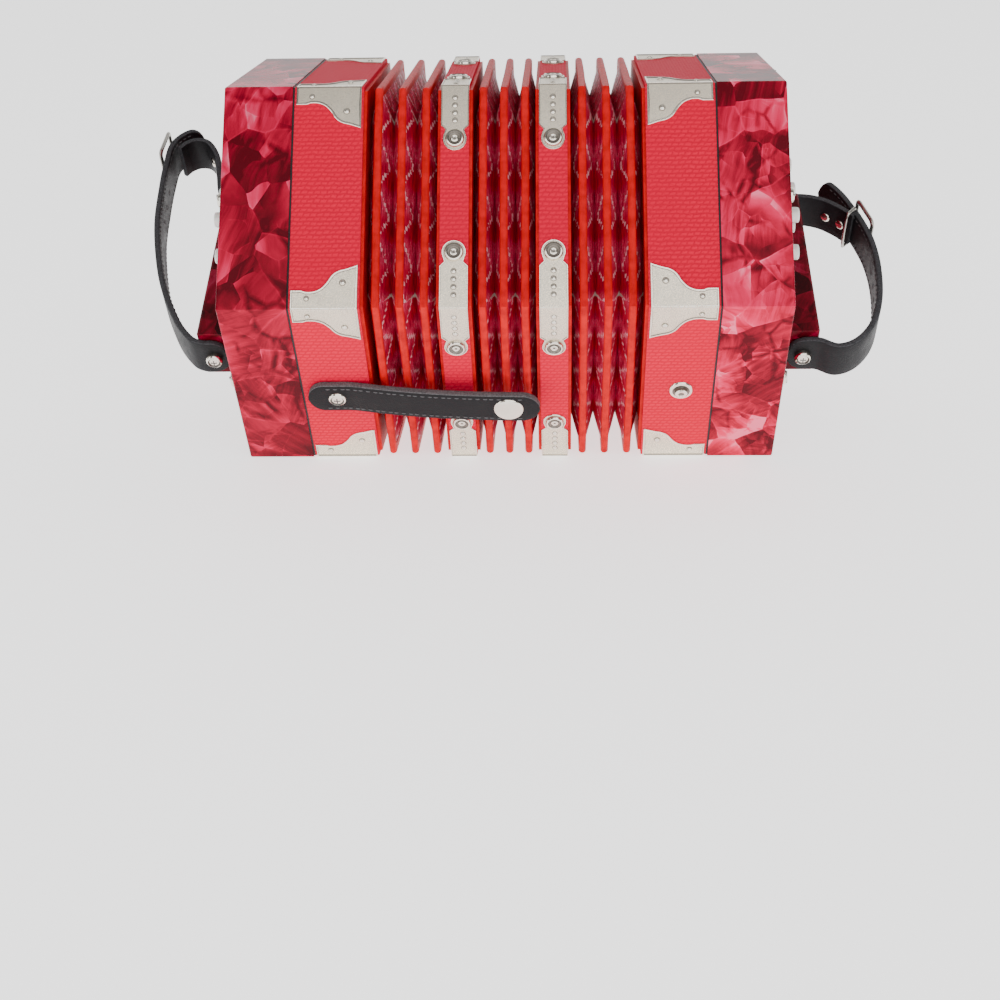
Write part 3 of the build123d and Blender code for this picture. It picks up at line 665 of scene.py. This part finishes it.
LOOP = {
    "right": [(71.6, 117.2), (71.6, 124), (71.9, 130.5), (75.2, 138), (71.5, 146.5), (61.6, 154.0),
              (47, 158.6), (28.8, 160.6), (13, 160.0), (0.5, 157.4), (-9, 154.2), (-19, 150), (-29, 143.5)],
    "left": [(71.6, 117.2), (71.6, 124), (71.5, 128.8), (68.2, 134.4), (56.3, 142.4), (32, 152.4), (0, 159.8),
             (-27, 162.2), (-45, 162.8), (-57, 162.2), (-65, 157.5), (-69.5, 149.5)],
}
LINK = {
    "right": [(-16.7, 117.2), (-16.7, 126), (-16.7, 134), (-14.2, 142), (-9.5, 148.4), (-6.0, 151.8),
              (-3.6, 154.4)],
    "left": [(-16.7, 117.2), (-16.7, 124), (-17.4, 128.6), (-22.5, 133.6), (-34, 136.2), (-48, 139.0),
             (-58.3, 144.6), (-60.6, 150.4), (-58.6, 155.2), (-54.5, 158.2)],
}
BUCKLE_AT = {"right": ((-2.5, 158.2), 16.0), "left": ((-54.5, 164.0), 1.0)}
SCREW_X = 124.0
HAND_WIDTH, BAND_THICK, LINK_THICK = 18.0, 2.6, 2.4
BOLT_RING = 77.8


def nearest(marks, point):
    return min(marks, key=lambda m: (m[0] - point).length)


def along(marks, distance):
    return min(marks, key=lambda m: abs(m[3] - distance))


def dome(radius, height, rim=0.25, steps=6):
    """Profile of a low domed head."""
    prof = [(0.0, -0.2), (radius, -0.2), (radius, rim)]
    for i in range(1, steps + 1):
        a = math.pi / 2 * i / steps
        prof.append((radius * math.cos(a), rim + (height - rim) * math.sin(a)))
    prof[-1] = (0.0, height)
    return prof


def cup_screw(bag, centre, normal, cup=3.6, head=2.2):
    """Cup washer with a screw sunk in it, its cross recess laid just proud of the head as a dark slab of painted
    shade; the cup's inner slope is painted shade too.
    """
    ring = [(0.0, -0.3), (cup, -0.3), (cup, 0.15), (cup - 0.45, 0.85), (cup - 0.95, 1.15), (cup - 1.35, 0.65),
            (head, 0.40), (0.0, 0.35)]
    turned(bag, centre, normal, ring, (4, 5, 6), 40)
    ring = [(0.0, 0.2), (head, 0.35), (head * 0.96, 0.7), (head * 0.7, 1.0), (head * 0.35, 1.16),
            (0.0, 1.2)]
    bag.add(*lathe(centre, normal, ring))
    a, b, n = basis(normal)
    recess = Vector(centre) + n * 0.95 + n * 0.06
    for way, other in ((a, b), (b, a)):
        bag.add(*slab_box(recess, (way, other, n), (head * 1.15, head * 0.24, 0.5)), 1)


for side, sign in (("right", 1), ("left", -1)):
    body = f"{side}_end"
    lift = rail_lift(sign, RAIL_U)
    band, band_marks = strap(f"hand_strap_{side}_band", LOOP[side], lift, ACROSS * sign, HAND_WIDTH, BAND_THICK,
                             [LEATHER, LEATHER_EDGE], ends=(8.4, 6.5))
    link, link_marks = strap(f"hand_strap_{side}_link", LINK[side], lift, ACROSS * -sign, HAND_WIDTH, LINK_THICK,
                             [LEATHER, LEATHER_EDGE], ends=(8.4, 0.0), stitch=False)
    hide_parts(f"hand_strap_{side}")
    for o in band + link:
        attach(o, body)

    # Buckle: rounded frame and prong, and the rivets that hold the folded leather.
    (bv, bx), tip = BUCKLE_AT[side]
    centre = lift((bv, bx))
    place, ahead, normal, _, _ = nearest(band_marks, centre)
    bag = Mesh()
    w, l, r = 12.3, 7.6, 2.2
    loop = []
    corners = ((w - r, l - r, 0), (r - w, l - r, 90), (r - w, r - l, 180), (w - r, r - l, 270))
    for cx, cy, start in corners:
        for a in range(0, 91, 18):
            turn = math.radians(start + a)
            loop.append((cx + r * math.cos(turn), cy + r * math.sin(turn)))
    out = normal if (normal.x * sign) > 0 else -normal
    seat = place + out * 2.0
    stations = []
    for i, (x, y) in enumerate(loop):
        x0, y0 = loop[i - 1]
        x1, y1 = loop[(i + 1) % len(loop)]
        tang = (ACROSS * (x1 - x0) + ahead * (y1 - y0)).normalized()
        mid = seat + ACROSS * x + ahead * y + out * (0.45 - 0.0035 * x * x)
        inward = tang.cross(out).normalized()
        stations.append(oval(mid, inward, out, 1.15, 0.85, 10))
    bag.add(*tube(stations, closed_path=True))
    prong = [(-l, -0.6), (-l * 0.5, 1.0), (0, 1.35), (l * 0.6, 1.3), (l + 1.6, 0.9)]
    stations = []
    for i, (y, h) in enumerate(prong):
        mid = seat + ahead * y + out * h
        rad = 0.85 if i < len(prong) - 1 else 0.5
        stations.append(oval(mid, ACROSS, out, rad, rad * 0.8, 10))
    bag.add(*tube(stations))
    buckle = bag.make(f"strap_buckle_{side}_frame", [BUCKLE_METAL], 40.0)
    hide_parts(f"strap_buckle_{side}")
    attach(buckle, body)

    rivets = Mesh()
    spots = (28.0, 36.5) if side == "right" else (42.0, 52.0)
    for at in spots:
        place, ahead, normal, _, _ = along(link_marks, at)
        for turn in (1, -1):
            rivets.add(*lathe(place + normal * (turn * 1.25), normal * turn, dome(2.3, 1.0)))
    rivet = rivets.make(f"strap_rivets_{side}", [BRIGHT], 40.0)
    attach(rivet, body)

    # Wire keeper round the right strap's link, below its buckle.
    if side == "right":
        keeper = Mesh()
        place, ahead, normal, _, _ = along(link_marks, spots[1] + 3.8)
        stations = []
        for a in turns(24):
            x = 10.2 * max(-1.0, min(1.0, 1.35 * math.cos(a)))
            y = 3.0 * max(-1.0, min(1.0, 1.2 * math.sin(a)))
            away = (ACROSS * math.cos(a) + normal * math.sin(a)).normalized()
            mid = place + ACROSS * x + normal * y
            stations.append(oval(mid, away, ahead, 0.75, 0.75, 8))
        keeper.add(*tube(stations, closed_path=True))
        loop_obj = keeper.make(f"strap_keeper_{side}", [BUCKLE_METAL], 50.0)
        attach(loop_obj, body)

    # Adjusting holes along the band.
    holes = Mesh()
    hole_at = (0.47, 0.53, 0.59) if side == "right" else (0.62, 0.68, 0.74)
    eyelet = [(0.0, -0.3), (1.25, -0.3), (1.35, 0.06), (1.15, 0.14), (0.95, 0.0), (0.0, -0.05)]
    for part in hole_at:
        place, ahead, normal, _, _ = along(band_marks, part * band_marks[-1][3])
        for turn in (1, -1):
            holes.add(*lathe(place + normal * (turn * 1.42), normal * turn, eyelet))
    hole = holes.make(f"strap_holes_{side}", [LEATHER_EDGE], 40.0)
    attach(hole, body)

    # Fasteners of this end: long bolts with slotted domed heads, each slot a dark slab of painted shade, and the
    # cup screws on the rail's ends.
    heads = Mesh()
    for k in range(6):
        t = math.radians(30 + 60 * k)
        at = Vector((sign * BOX_OUT, BOLT_RING * math.cos(t), HALF_FLAT + BOLT_RING * math.sin(t)))
        heads.add(*lathe(at, (sign, 0, 0), dome(3.2, 1.9)))
        turn = random.uniform(0, math.pi)
        way = Vector((0, math.cos(turn), math.sin(turn)))
        x_axis = Vector((1, 0, 0))
        heads.add(*slab_box(at + x_axis * (sign * 1.72), (way, x_axis.cross(way), x_axis), (5.2, 0.7, 0.5)), 1)
    for v, turn in ((74.6, 1), (-19.6, -1)):
        cup_screw(heads, lift((v, SCREW_X)), ALONG * turn)
    made = heads.make(f"end_heads_{side}", [BRIGHT, SCREW_SHADE], 36.0)
    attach(made, body)
    NODES[f"end_fasteners_{side}"].data.materials.clear()
    NODES[f"end_fasteners_{side}"].data.materials.append(BRIGHT)


# ---- transport strap and snap

SCREW = (-72.0, -4.85)
CAP_X = 1.0
STUD = (73.4, -3.45)
TRANSPORT_WIDTH, TRANSPORT_THICK = 16.0, 3.0
SEAT = SKIN + 0.15 + TRANSPORT_THICK / 2


def front_lift(p):
    """Turns (x, v) on the transport strap's middle plane into the row frame."""
    return AXIS + ALONG * p[1] + ACROSS * SCREW[1] + Vector((p[0], 0, 0))


x0 = SCREW[0]
path = [(x0 - 12.4, SEAT), (x0 - 6, SEAT), (x0, SEAT), (x0 + 7, SEAT + 0.2), (x0 + 22, SEAT + 2.4),
        (x0 + 42, SEAT + 4.6), (x0 + 66, SEAT + 5.9), (x0 + 86, SEAT + 6.2)]
band, marks = strap("bellows_strap_band", path, front_lift, ACROSS * -1, TRANSPORT_WIDTH, TRANSPORT_THICK,
                    [BAND_LEATHER, BAND_EDGE], ends=(7.0, 7.6), gap=0.8, crown=0.25)
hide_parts("bellows_strap")
for o in band:
    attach(o, "transport_strap")

bag = Mesh()
top = AXIS + ALONG * (SEAT + 1.5) + ACROSS * SCREW[1] + Vector((x0, 0, 0))
cup_screw(bag, top + ALONG * 0.25, ALONG, 3.9, 2.5)
screw = bag.make("strap_screw_head", [BRIGHT, SCREW_SHADE], 36.0)
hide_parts("strap_screw")
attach(screw, "left_end")

bag = Mesh()
place, ahead, normal, _, _ = nearest(marks, front_lift((CAP_X, SEAT + 6)))
out = normal if normal.dot(ALONG) > 0 else -normal
ring = [(0.0, 0.0), (6.2, 0.0), (6.25, 0.35), (6.0, 0.75), (5.3, 1.2), (4.2, 1.6), (2.8, 1.9), (1.4, 2.05),
        (0.0, 2.1)]
bag.add(*lathe(place + out * 1.5, out, ring, 56))
ring = [(0.0, 0.0), (4.6, 0.0), (4.6, 0.7), (4.2, 1.0), (3.3, 1.0), (2.9, 0.8), (2.9, 0.3), (0.0, 0.3)]
bag.add(*lathe(place - out * 1.5, -out, ring, 48))
cap = bag.make("snap_cap_dome", [BRIGHT, GROOVE_SHADE], 40.0)
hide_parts("snap_cap")
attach(cap, "transport_strap")

bag = Mesh()
base = AXIS + ALONG * SKIN + ACROSS * STUD[1] + Vector((STUD[0], 0, 0))
# The hollow round the stud's post, the post's foot and the dip in its top are dark nickel: painted shade.
ring = [(0.0, -0.2), (5.2, -0.2), (5.2, 0.35), (4.7, 0.95), (3.7, 1.1), (3.2, 0.7), (2.75, 0.65), (2.5, 1.2),
        (2.35, 2.0), (2.6, 2.6), (2.2, 2.95), (1.3, 2.9), (1.1, 2.5), (0.0, 2.45)]
turned(bag, base, ALONG, ring, (4, 5, 6, 7, 12), 56)
stud = bag.make("snap_stud_ring", [BRIGHT, GROOVE_SHADE], 40.0)
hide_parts("snap_stud")
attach(stud, "right_end")


# ---- corner guards and bands


def crease_point(k, flip, x, s, h):
    """Point on a face beside crease k: s runs off the crease along the face, h is height above the skin."""
    t = math.radians(60 * k)
    turn = math.radians(60 * k + (30 if flip > 0 else -30))
    corner = Vector((0, HEX_SIDE * math.cos(t), HALF_FLAT + HEX_SIDE * math.sin(t)))
    normal = Vector((0, math.cos(turn), math.sin(turn)))
    run = Vector((0, -math.sin(turn), math.cos(turn))) * (1 if flip > 0 else -1)
    s = max(s, (METAL - h) * math.tan(math.radians(30)))
    return corner + run * s + normal * (h - METAL) + Vector((x, 0, 0))


def plate_piece(bag, k, outline, rim, sink):
    """Bent plate over crease k, with a raised rim round a slightly sunk field on both faces; the rim's inner
    bevel is dark nickel, painted shade.
    """
    n = len(outline)
    inner = []
    for i, p in enumerate(outline):
        here = Vector(p)
        before = (here - Vector(outline[i - 1])).normalized()
        after = (Vector(outline[(i + 1) % n]) - here).normalized()
        m = (before + after).normalized()
        inner.append(here + Vector((-m.y, m.x)) * rim)
    edge, near = ([Vector(p).lerp(q, part) for p, q in zip(outline, inner)] for part in (0.22, 0.78))
    levels = ((outline, 0.0), (outline, METAL - 0.18), (edge, METAL), (near, METAL), (inner, METAL - sink))
    for flip in (1, -1):
        rings = [[crease_point(k, flip, x, s, h) for x, s in run] for run, h in levels]
        bag.add(*tube(rings), [0] * n + [1] * 2 * n + [2] * n + [0, 0])


def guard_outline(x_in, x_out):
    """Corner guard: wide at the bellows side, waisted by an ogee, narrow at the box side."""
    d = 1 if x_out > x_in else -1
    curve = [(x_in, 0.0), (x_in, 8.0), (x_in, 18.4)]
    ogee = ((0.0, 18.4), (4.5, 16.9), (7.8, 16.0), (10.4, 14.2), (12.6, 11.0), (15.0, 8.6), (18.0, 7.4),
            (21.0, 7.3))
    curve += [tuple(p) for p in spline([(x_in + d * x, s) for x, s in ogee], 5)[1:]]
    curve += [(x_in + d * 22.6, 7.9), (x_out, 7.9), (x_out, 0.0)]
    return curve if d < 0 else list(reversed(curve))


def band_outline(centre, half):
    """Mid-frame band: full width over the crease, with shoulders, a neck and a round end."""
    pts = [(centre + half, 0.0), (centre + half, 7.0), (centre + half, 17.6), (centre + half - 1.9, 19.4)]
    r, at = 4.95, 23.4
    for a in range(-28, 209, 12):
        t = math.radians(a)
        pts.append((centre + r * math.cos(t), at + r * math.sin(t)))
    pts += [(centre - half + 1.9, 19.4), (centre - half, 17.6), (centre - half, 7.0), (centre - half, 0.0)]
    return pts


def on_plate(bag, k, flip, x, s, sunk, ring, dark, segments):
    """Adds a turned piece standing on the plate beside crease k."""
    centre = crease_point(k, flip, x, s, METAL - sunk)
    turned(bag, centre, crease_point(k, flip, x, s, METAL + 1) - centre, ring, dark, segments)


# Eyelet-like rivet: raised ring with a smaller boss inside; the hollow between them and the dip in the boss are
# painted shade.
EYELET = [(0.0, -0.2), (3.95, -0.2), (3.95, 0.30), (3.5, 0.95), (2.95, 1.05), (2.45, 0.45), (1.85, 0.35),
          (1.6, 0.8), (1.05, 1.05), (0.55, 0.65), (0.0, 0.55)]
# Small pressed dome with a line of painted shade round its foot.
DIMPLE = [(0.0, -0.2), (1.05 + 0.22, -0.2), (1.05 + 0.22, 0.04), (1.05, 0.06), (1.05 * 0.86, 0.62 * 0.55),
          (1.05 * 0.5, 0.62 * 0.9), (0.0, 0.62)]


def nail_ring(r, h=0.85):
    """Profile of a round nail head with a line of painted shade where it meets the plate."""
    return [(0.0, -0.2), (r + 0.28, -0.2), (r + 0.28, 0.05), (r, 0.07), (r, 0.3), (r * 0.86, h * 0.66),
            (r * 0.5, h * 0.93), (0.0, h)]


for side, sign in (("right", 1), ("left", -1)):
    bag, pins = Mesh(), Mesh()
    x_in, x_out = sign * (FRAME_IN + 0.8), sign * (FRAME_OUT - 0.8)
    outline = guard_outline(x_in, x_out)
    for k in range(6):
        plate_piece(bag, k, outline, 1.0, 0.34)
        for flip in (1, -1):
            on_plate(pins, k, flip, x_in + sign * 6.0, 11.0, 0.34, nail_ring(1.15), (2,), 18)
            on_plate(pins, k, flip, x_out - sign * 6.5, 4.5, 0.34, nail_ring(0.95), (2,), 18)
    guards = bag.make(f"frame_guards_{side}", [NICKEL, BRIGHT, GROOVE_SHADE], 26.0)
    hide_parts(f"frame_corners_{side}")
    pins = pins.make(f"guard_nails_{side}", [BRIGHT, GROOVE_SHADE], 40.0)
    for o in (guards, pins):
        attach(o, f"{side}_end")

for number, sign in ((1, -1), (2, 1)):
    centre, half = sign * (MID_IN + MID_OUT) / 2, (MID_OUT - MID_IN) / 2 - 0.05
    bag, pins = Mesh(), Mesh()
    outline = band_outline(centre, half)
    for k in range(6):
        plate_piece(bag, k, outline, 0.62, 0.26)
        for flip in (1, -1):
            on_plate(pins, k, flip, centre, 23.4, 0.0, EYELET, (4, 5, 6, 9), 36)
            for s in (5.6, 8.9, 12.2, 15.5):
                on_plate(pins, k, flip, centre, s, 0.26, DIMPLE, (2,), 14)
    bands = bag.make(f"mid_band_plates_{number}", [NICKEL, BRIGHT, GROOVE_SHADE], 26.0)
    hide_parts(f"mid_bands_{number}")
    pins = pins.make(f"mid_band_rivets_{number}", [BRIGHT, GROOVE_SHADE], 40.0)
    for o in (bands, pins):
        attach(o, f"mid_{number}")


# ---- bellows

RIDGE, VALLEY, CARD, FOLDS = 80.4, 65.0, 1.3, 3
COS30 = math.cos(math.radians(30))


def follow(obj):
    """Bakes a fold card's placement into its mesh."""
    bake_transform(obj)


def fold_panel(name, x_a, r_a, x_b, r_b, sag):
    """One folded card ring between a ridge and a valley, mapped for its paper."""
    steps, cells = 8, 16
    verts, faces, uvs = [], [], []
    ridge_first = r_a > r_b
    depth = math.hypot(x_b - x_a, r_a - r_b)
    for shell in (0, 1):
        for k in range(6):
            for i in range(steps + 1):
                f = i / steps
                x = x_a + (x_b - x_a) * f
                r = r_a + (r_b - r_a) * f
                way = Vector((x_b - x_a, r_b - r_a)).normalized()
                lean = Vector((-way.y, way.x))
                if lean.y > 0:
                    lean = -lean
                if shell:
                    x, r = x + lean.x * 0.9, r + lean.y * 0.9
                for j in range(cells + 1):
                    g = j / cells
                    p = hex_corner(k, r / COS30, x).lerp(hex_corner(k + 1, r / COS30, x), g)
                    # The card's middle settles inward a little between its stiff corners.
                    turn = math.radians(60 * k + 30)
                    out = Vector((0, math.cos(turn), math.sin(turn)))
                    p = p - out * (sag[k] * math.sin(math.pi * g) ** 2 * (f if ridge_first else 1 - f) * 0.6)
                    verts.append(p)
                    half = r / COS30 / 2
                    down = depth * (f if ridge_first else 1 - f)
                    uvs.append(((g - 0.5) * 2 * half / 10.0, down / 10.0))
    n = cells + 1
    block = (steps + 1) * n
    for shell in (0, 1):
        for k in range(6):
            base = shell * 6 * block + k * block
            for i in range(steps):
                for j in range(cells):
                    q = base + i * n + j
                    faces.append((q, q + 1, q + n + 1, q + n))
    for k in range(6):
        for row in (0, steps):
            for j in range(cells):
                a = k * block + row * n + j
                b = 6 * block + a
                faces.append((a, a + 1, b + 1, b))
    return build(name, verts, faces, [PAPER], None, 30.0, uvs)


def ridge_band(name, x, pitch, wobble):
    """Cloth folded over a ridge: a narrow rounded roof following the two cards down a little way."""
    fall = RIDGE - VALLEY
    slope = (pitch / 2) / math.hypot(pitch / 2, fall)
    drop = fall / math.hypot(pitch / 2, fall)
    leg = 3.4
    over = 0.38
    left = (-slope * leg - over * drop, -drop * leg + over * slope)
    right = (-left[0], left[1])
    r = 1.65
    arc = []
    for a in range(0, 181, 20):
        t = math.radians(180 - a)
        arc.append((r * math.cos(t), r * 0.75 * math.sin(t) - 0.55))
    profile = [left] + arc + [right, (right[0] - 0.5, right[1]), (0.35, -1.6), (-0.35, -1.6),
                              (left[0] + 0.5, left[1])]
    cells = 10
    stations = []
    for k in range(6):
        for j in range(cells):
            g = j / cells
            ring = []
            for dx, dr in profile:
                rad = (RIDGE + dr) / COS30
                shift = wobble[k] * math.sin(math.pi * g) + 0.10 * math.sin(5.1 * (k + g) + x)
                at = x + dx + shift * 0.5
                ring.append(hex_corner(k, rad, at).lerp(hex_corner(k + 1, rad, at), g))
            stations.append(ring)
    verts, faces = tube(stations, closed_path=True)
    return build(name, verts, faces, [RIDGE_CLOTH], None, 45.0)


def bellows_section(name, node, x0, x1, a, b):
    inner0, inner1 = x0 + CARD, x1 - CARD
    count = 2 * FOLDS
    steps = [inner0 + (inner1 - inner0) * i / count for i in range(count + 1)]
    pitch = (inner1 - inner0) / FOLDS
    for i in range(count):
        r_a = RIDGE if i % 2 else VALLEY
        r_b = VALLEY if i % 2 else RIDGE
        sag = [random.uniform(0.0, 0.8) for _ in range(6)]
        panel = fold_panel(f"{name}_card_{i + 1}", steps[i], r_a, steps[i + 1], r_b, sag)
        follow(panel)
        if i == 0:
            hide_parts(node)
    for i in range(1, count, 2):
        wobble = [random.uniform(-0.25, 0.25) for _ in range(6)]
        band = ridge_band(f"{name}_ridge_{i // 2 + 1}", steps[i], pitch, wobble)
        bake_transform(band)
    for end, lo, body in (("a", x0, a), ("b", inner1, b)):
        outer, inner = RIDGE - 0.6, VALLEY - CARD
        stations = [[hex_corner(k, r / COS30, x) for k in range(6)]
                    for r, x in ((outer, lo), (outer, lo + CARD), (inner, lo + CARD), (inner, lo))]
        flange = build(f"{name}_flange_{end}", *tube(stations, closed_path=True), [RIDGE_CLOTH], None, 30.0)
        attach(flange, body)


bellows_section("bellows_1", "bellows_left", -FRAME_IN, -MID_OUT, "left_end", "mid_1")
bellows_section("bellows_2", "bellows_middle", -MID_IN, MID_IN, "mid_1", "mid_2")
bellows_section("bellows_3", "bellows_right", MID_OUT, FRAME_IN, "mid_2", "right_end")


# ---- carried-over pieces


def paint(node, mat, angle=30.0):
    obj = NODES[node]
    obj.data.materials.clear()
    obj.data.materials.append(mat)
    obj.data.polygons.foreach_set("material_index", [0] * len(obj.data.polygons))
    smooth(obj, angle)


FINISHES = {
    "end_plate": PEARL_PLATE, "handrail": PEARL_RAIL_SHADED, "action_board": PLYWOOD, "key_pivots": ALUMINIUM,
    "key_springs": SPRING, "reed_pan": PAN_WOOD, "reed_plates": BRASS, "bellows_frame": VINYL,
    "seal_gasket": GASKET,
}
for side in ("left", "right"):
    paint(f"end_box_{side}", PEARL[side])
    for piece, mat in FINISHES.items():
        paint(f"{piece}_{side}", mat)
for number in (1, 2):
    paint(f"mid_frame_{number}", VINYL)

# A key is one solid: its button lies outside PIVOT_X, its pad inside PAD_X, its lever between.
PAD_X = 94.7
PIVOT_X = 108.0
for name, obj in NODES.items():
    if name != "air_key" and not name.startswith(("key_left_", "key_right_")):
        continue
    mesh = obj.data
    mesh.materials.clear()
    for m in (BUTTON, ALUMINIUM, PAD_FELT):
        mesh.materials.append(m)
    for face in mesh.polygons:
        reach = [abs(mesh.vertices[i].co.x) / MM for i in face.vertices]
        if min(reach) > PIVOT_X + 1.75 and max(reach) > PIVOT_X + 2.0:
            face.material_index = 0
        elif max(reach) < PAD_X:
            face.material_index = 2
        else:
            face.material_index = 1
    smooth(obj, 30.0)


# ---- studio

floor_mesh = bpy.data.meshes.new("studio_floor")
FLOOR_Z = -0.0006
floor_mesh.from_pydata([(x, y, FLOOR_Z) for x, y in ((-6, -4), (6, -4), (6, 9), (-6, 9))], [], [(0, 1, 2, 3)])
floor = bpy.data.objects.new("studio_floor", floor_mesh)
bpy.context.scene.collection.objects.link(floor)
t = Tree("studio_paper", Roughness=0.9, Emission_Color=(1, 1, 1, 1), Emission_Strength=1.5)
floor_mesh.materials.append(t.done(Base_Color=(0.86, 0.86, 0.86, 1)))

world = bpy.data.worlds.new("studio")
bpy.context.scene.world = world
world.use_nodes = True
nodes, links = world.node_tree.nodes, world.node_tree.links
ray = nodes.new("ShaderNodeTexCoord")
split = nodes.new("ShaderNodeSeparateXYZ")
links.new(ray.outputs["Generated"], split.inputs[0])
level = nodes.new("ShaderNodeMapRange")
for i, v in enumerate((-0.15, 0.90, 0.22, 1.45)):
    level.inputs[i + 1].default_value = v
links.new(split.outputs["Y"], level.inputs[0])
links.new(level.outputs[0], nodes["Background"].inputs["Strength"])
nodes["Background"].inputs["Color"].default_value = (1.0, 1.0, 1.0, 1)


def area(name, place, target, size, power, colour=(1, 1, 1)):
    light = bpy.data.lights.new(name, "AREA")
    light.shape = "RECTANGLE"
    light.size, light.size_y = size
    light.energy = power
    light.color = colour
    obj = bpy.data.objects.new(name, light)
    bpy.context.scene.collection.objects.link(obj)
    obj.location = place
    obj.rotation_mode = "QUATERNION"
    obj.rotation_quaternion = (Vector(target) - Vector(place)).to_track_quat("-Z", "Y")


area("front_softbox", (0.35, -1.77, 0.95), (0, 0, 0.08), (2.6, 1.7), 33.0)
area("left_edge", (-1.6, -0.9, 0.5), (0, 0, 0.08), (0.5, 1.2), 5.0)

camera = bpy.data.cameras.new("view")
camera.lens = 55.45
camera.sensor_width = 36.0
camera.shift_y = -0.15
cam = bpy.data.objects.new("view", camera)
bpy.context.scene.collection.objects.link(cam)
CAMERA_AT = (0.02137, -0.68498, 0.25344)
yaw, pitch, roll = -0.0390, 0.3094, -0.0172
ahead = Vector((math.sin(yaw) * math.cos(pitch), math.cos(yaw) * math.cos(pitch), -math.sin(pitch)))
right = Vector((math.cos(yaw), -math.sin(yaw), 0))
up = right.cross(ahead)
right2 = right * math.cos(roll) + up * math.sin(roll)
up2 = up * math.cos(roll) - right * math.sin(roll)
cam.matrix_world = Matrix.Translation(CAMERA_AT) @ Matrix((right2, up2, -ahead)).transposed().to_4x4()
bpy.context.scene.camera = cam
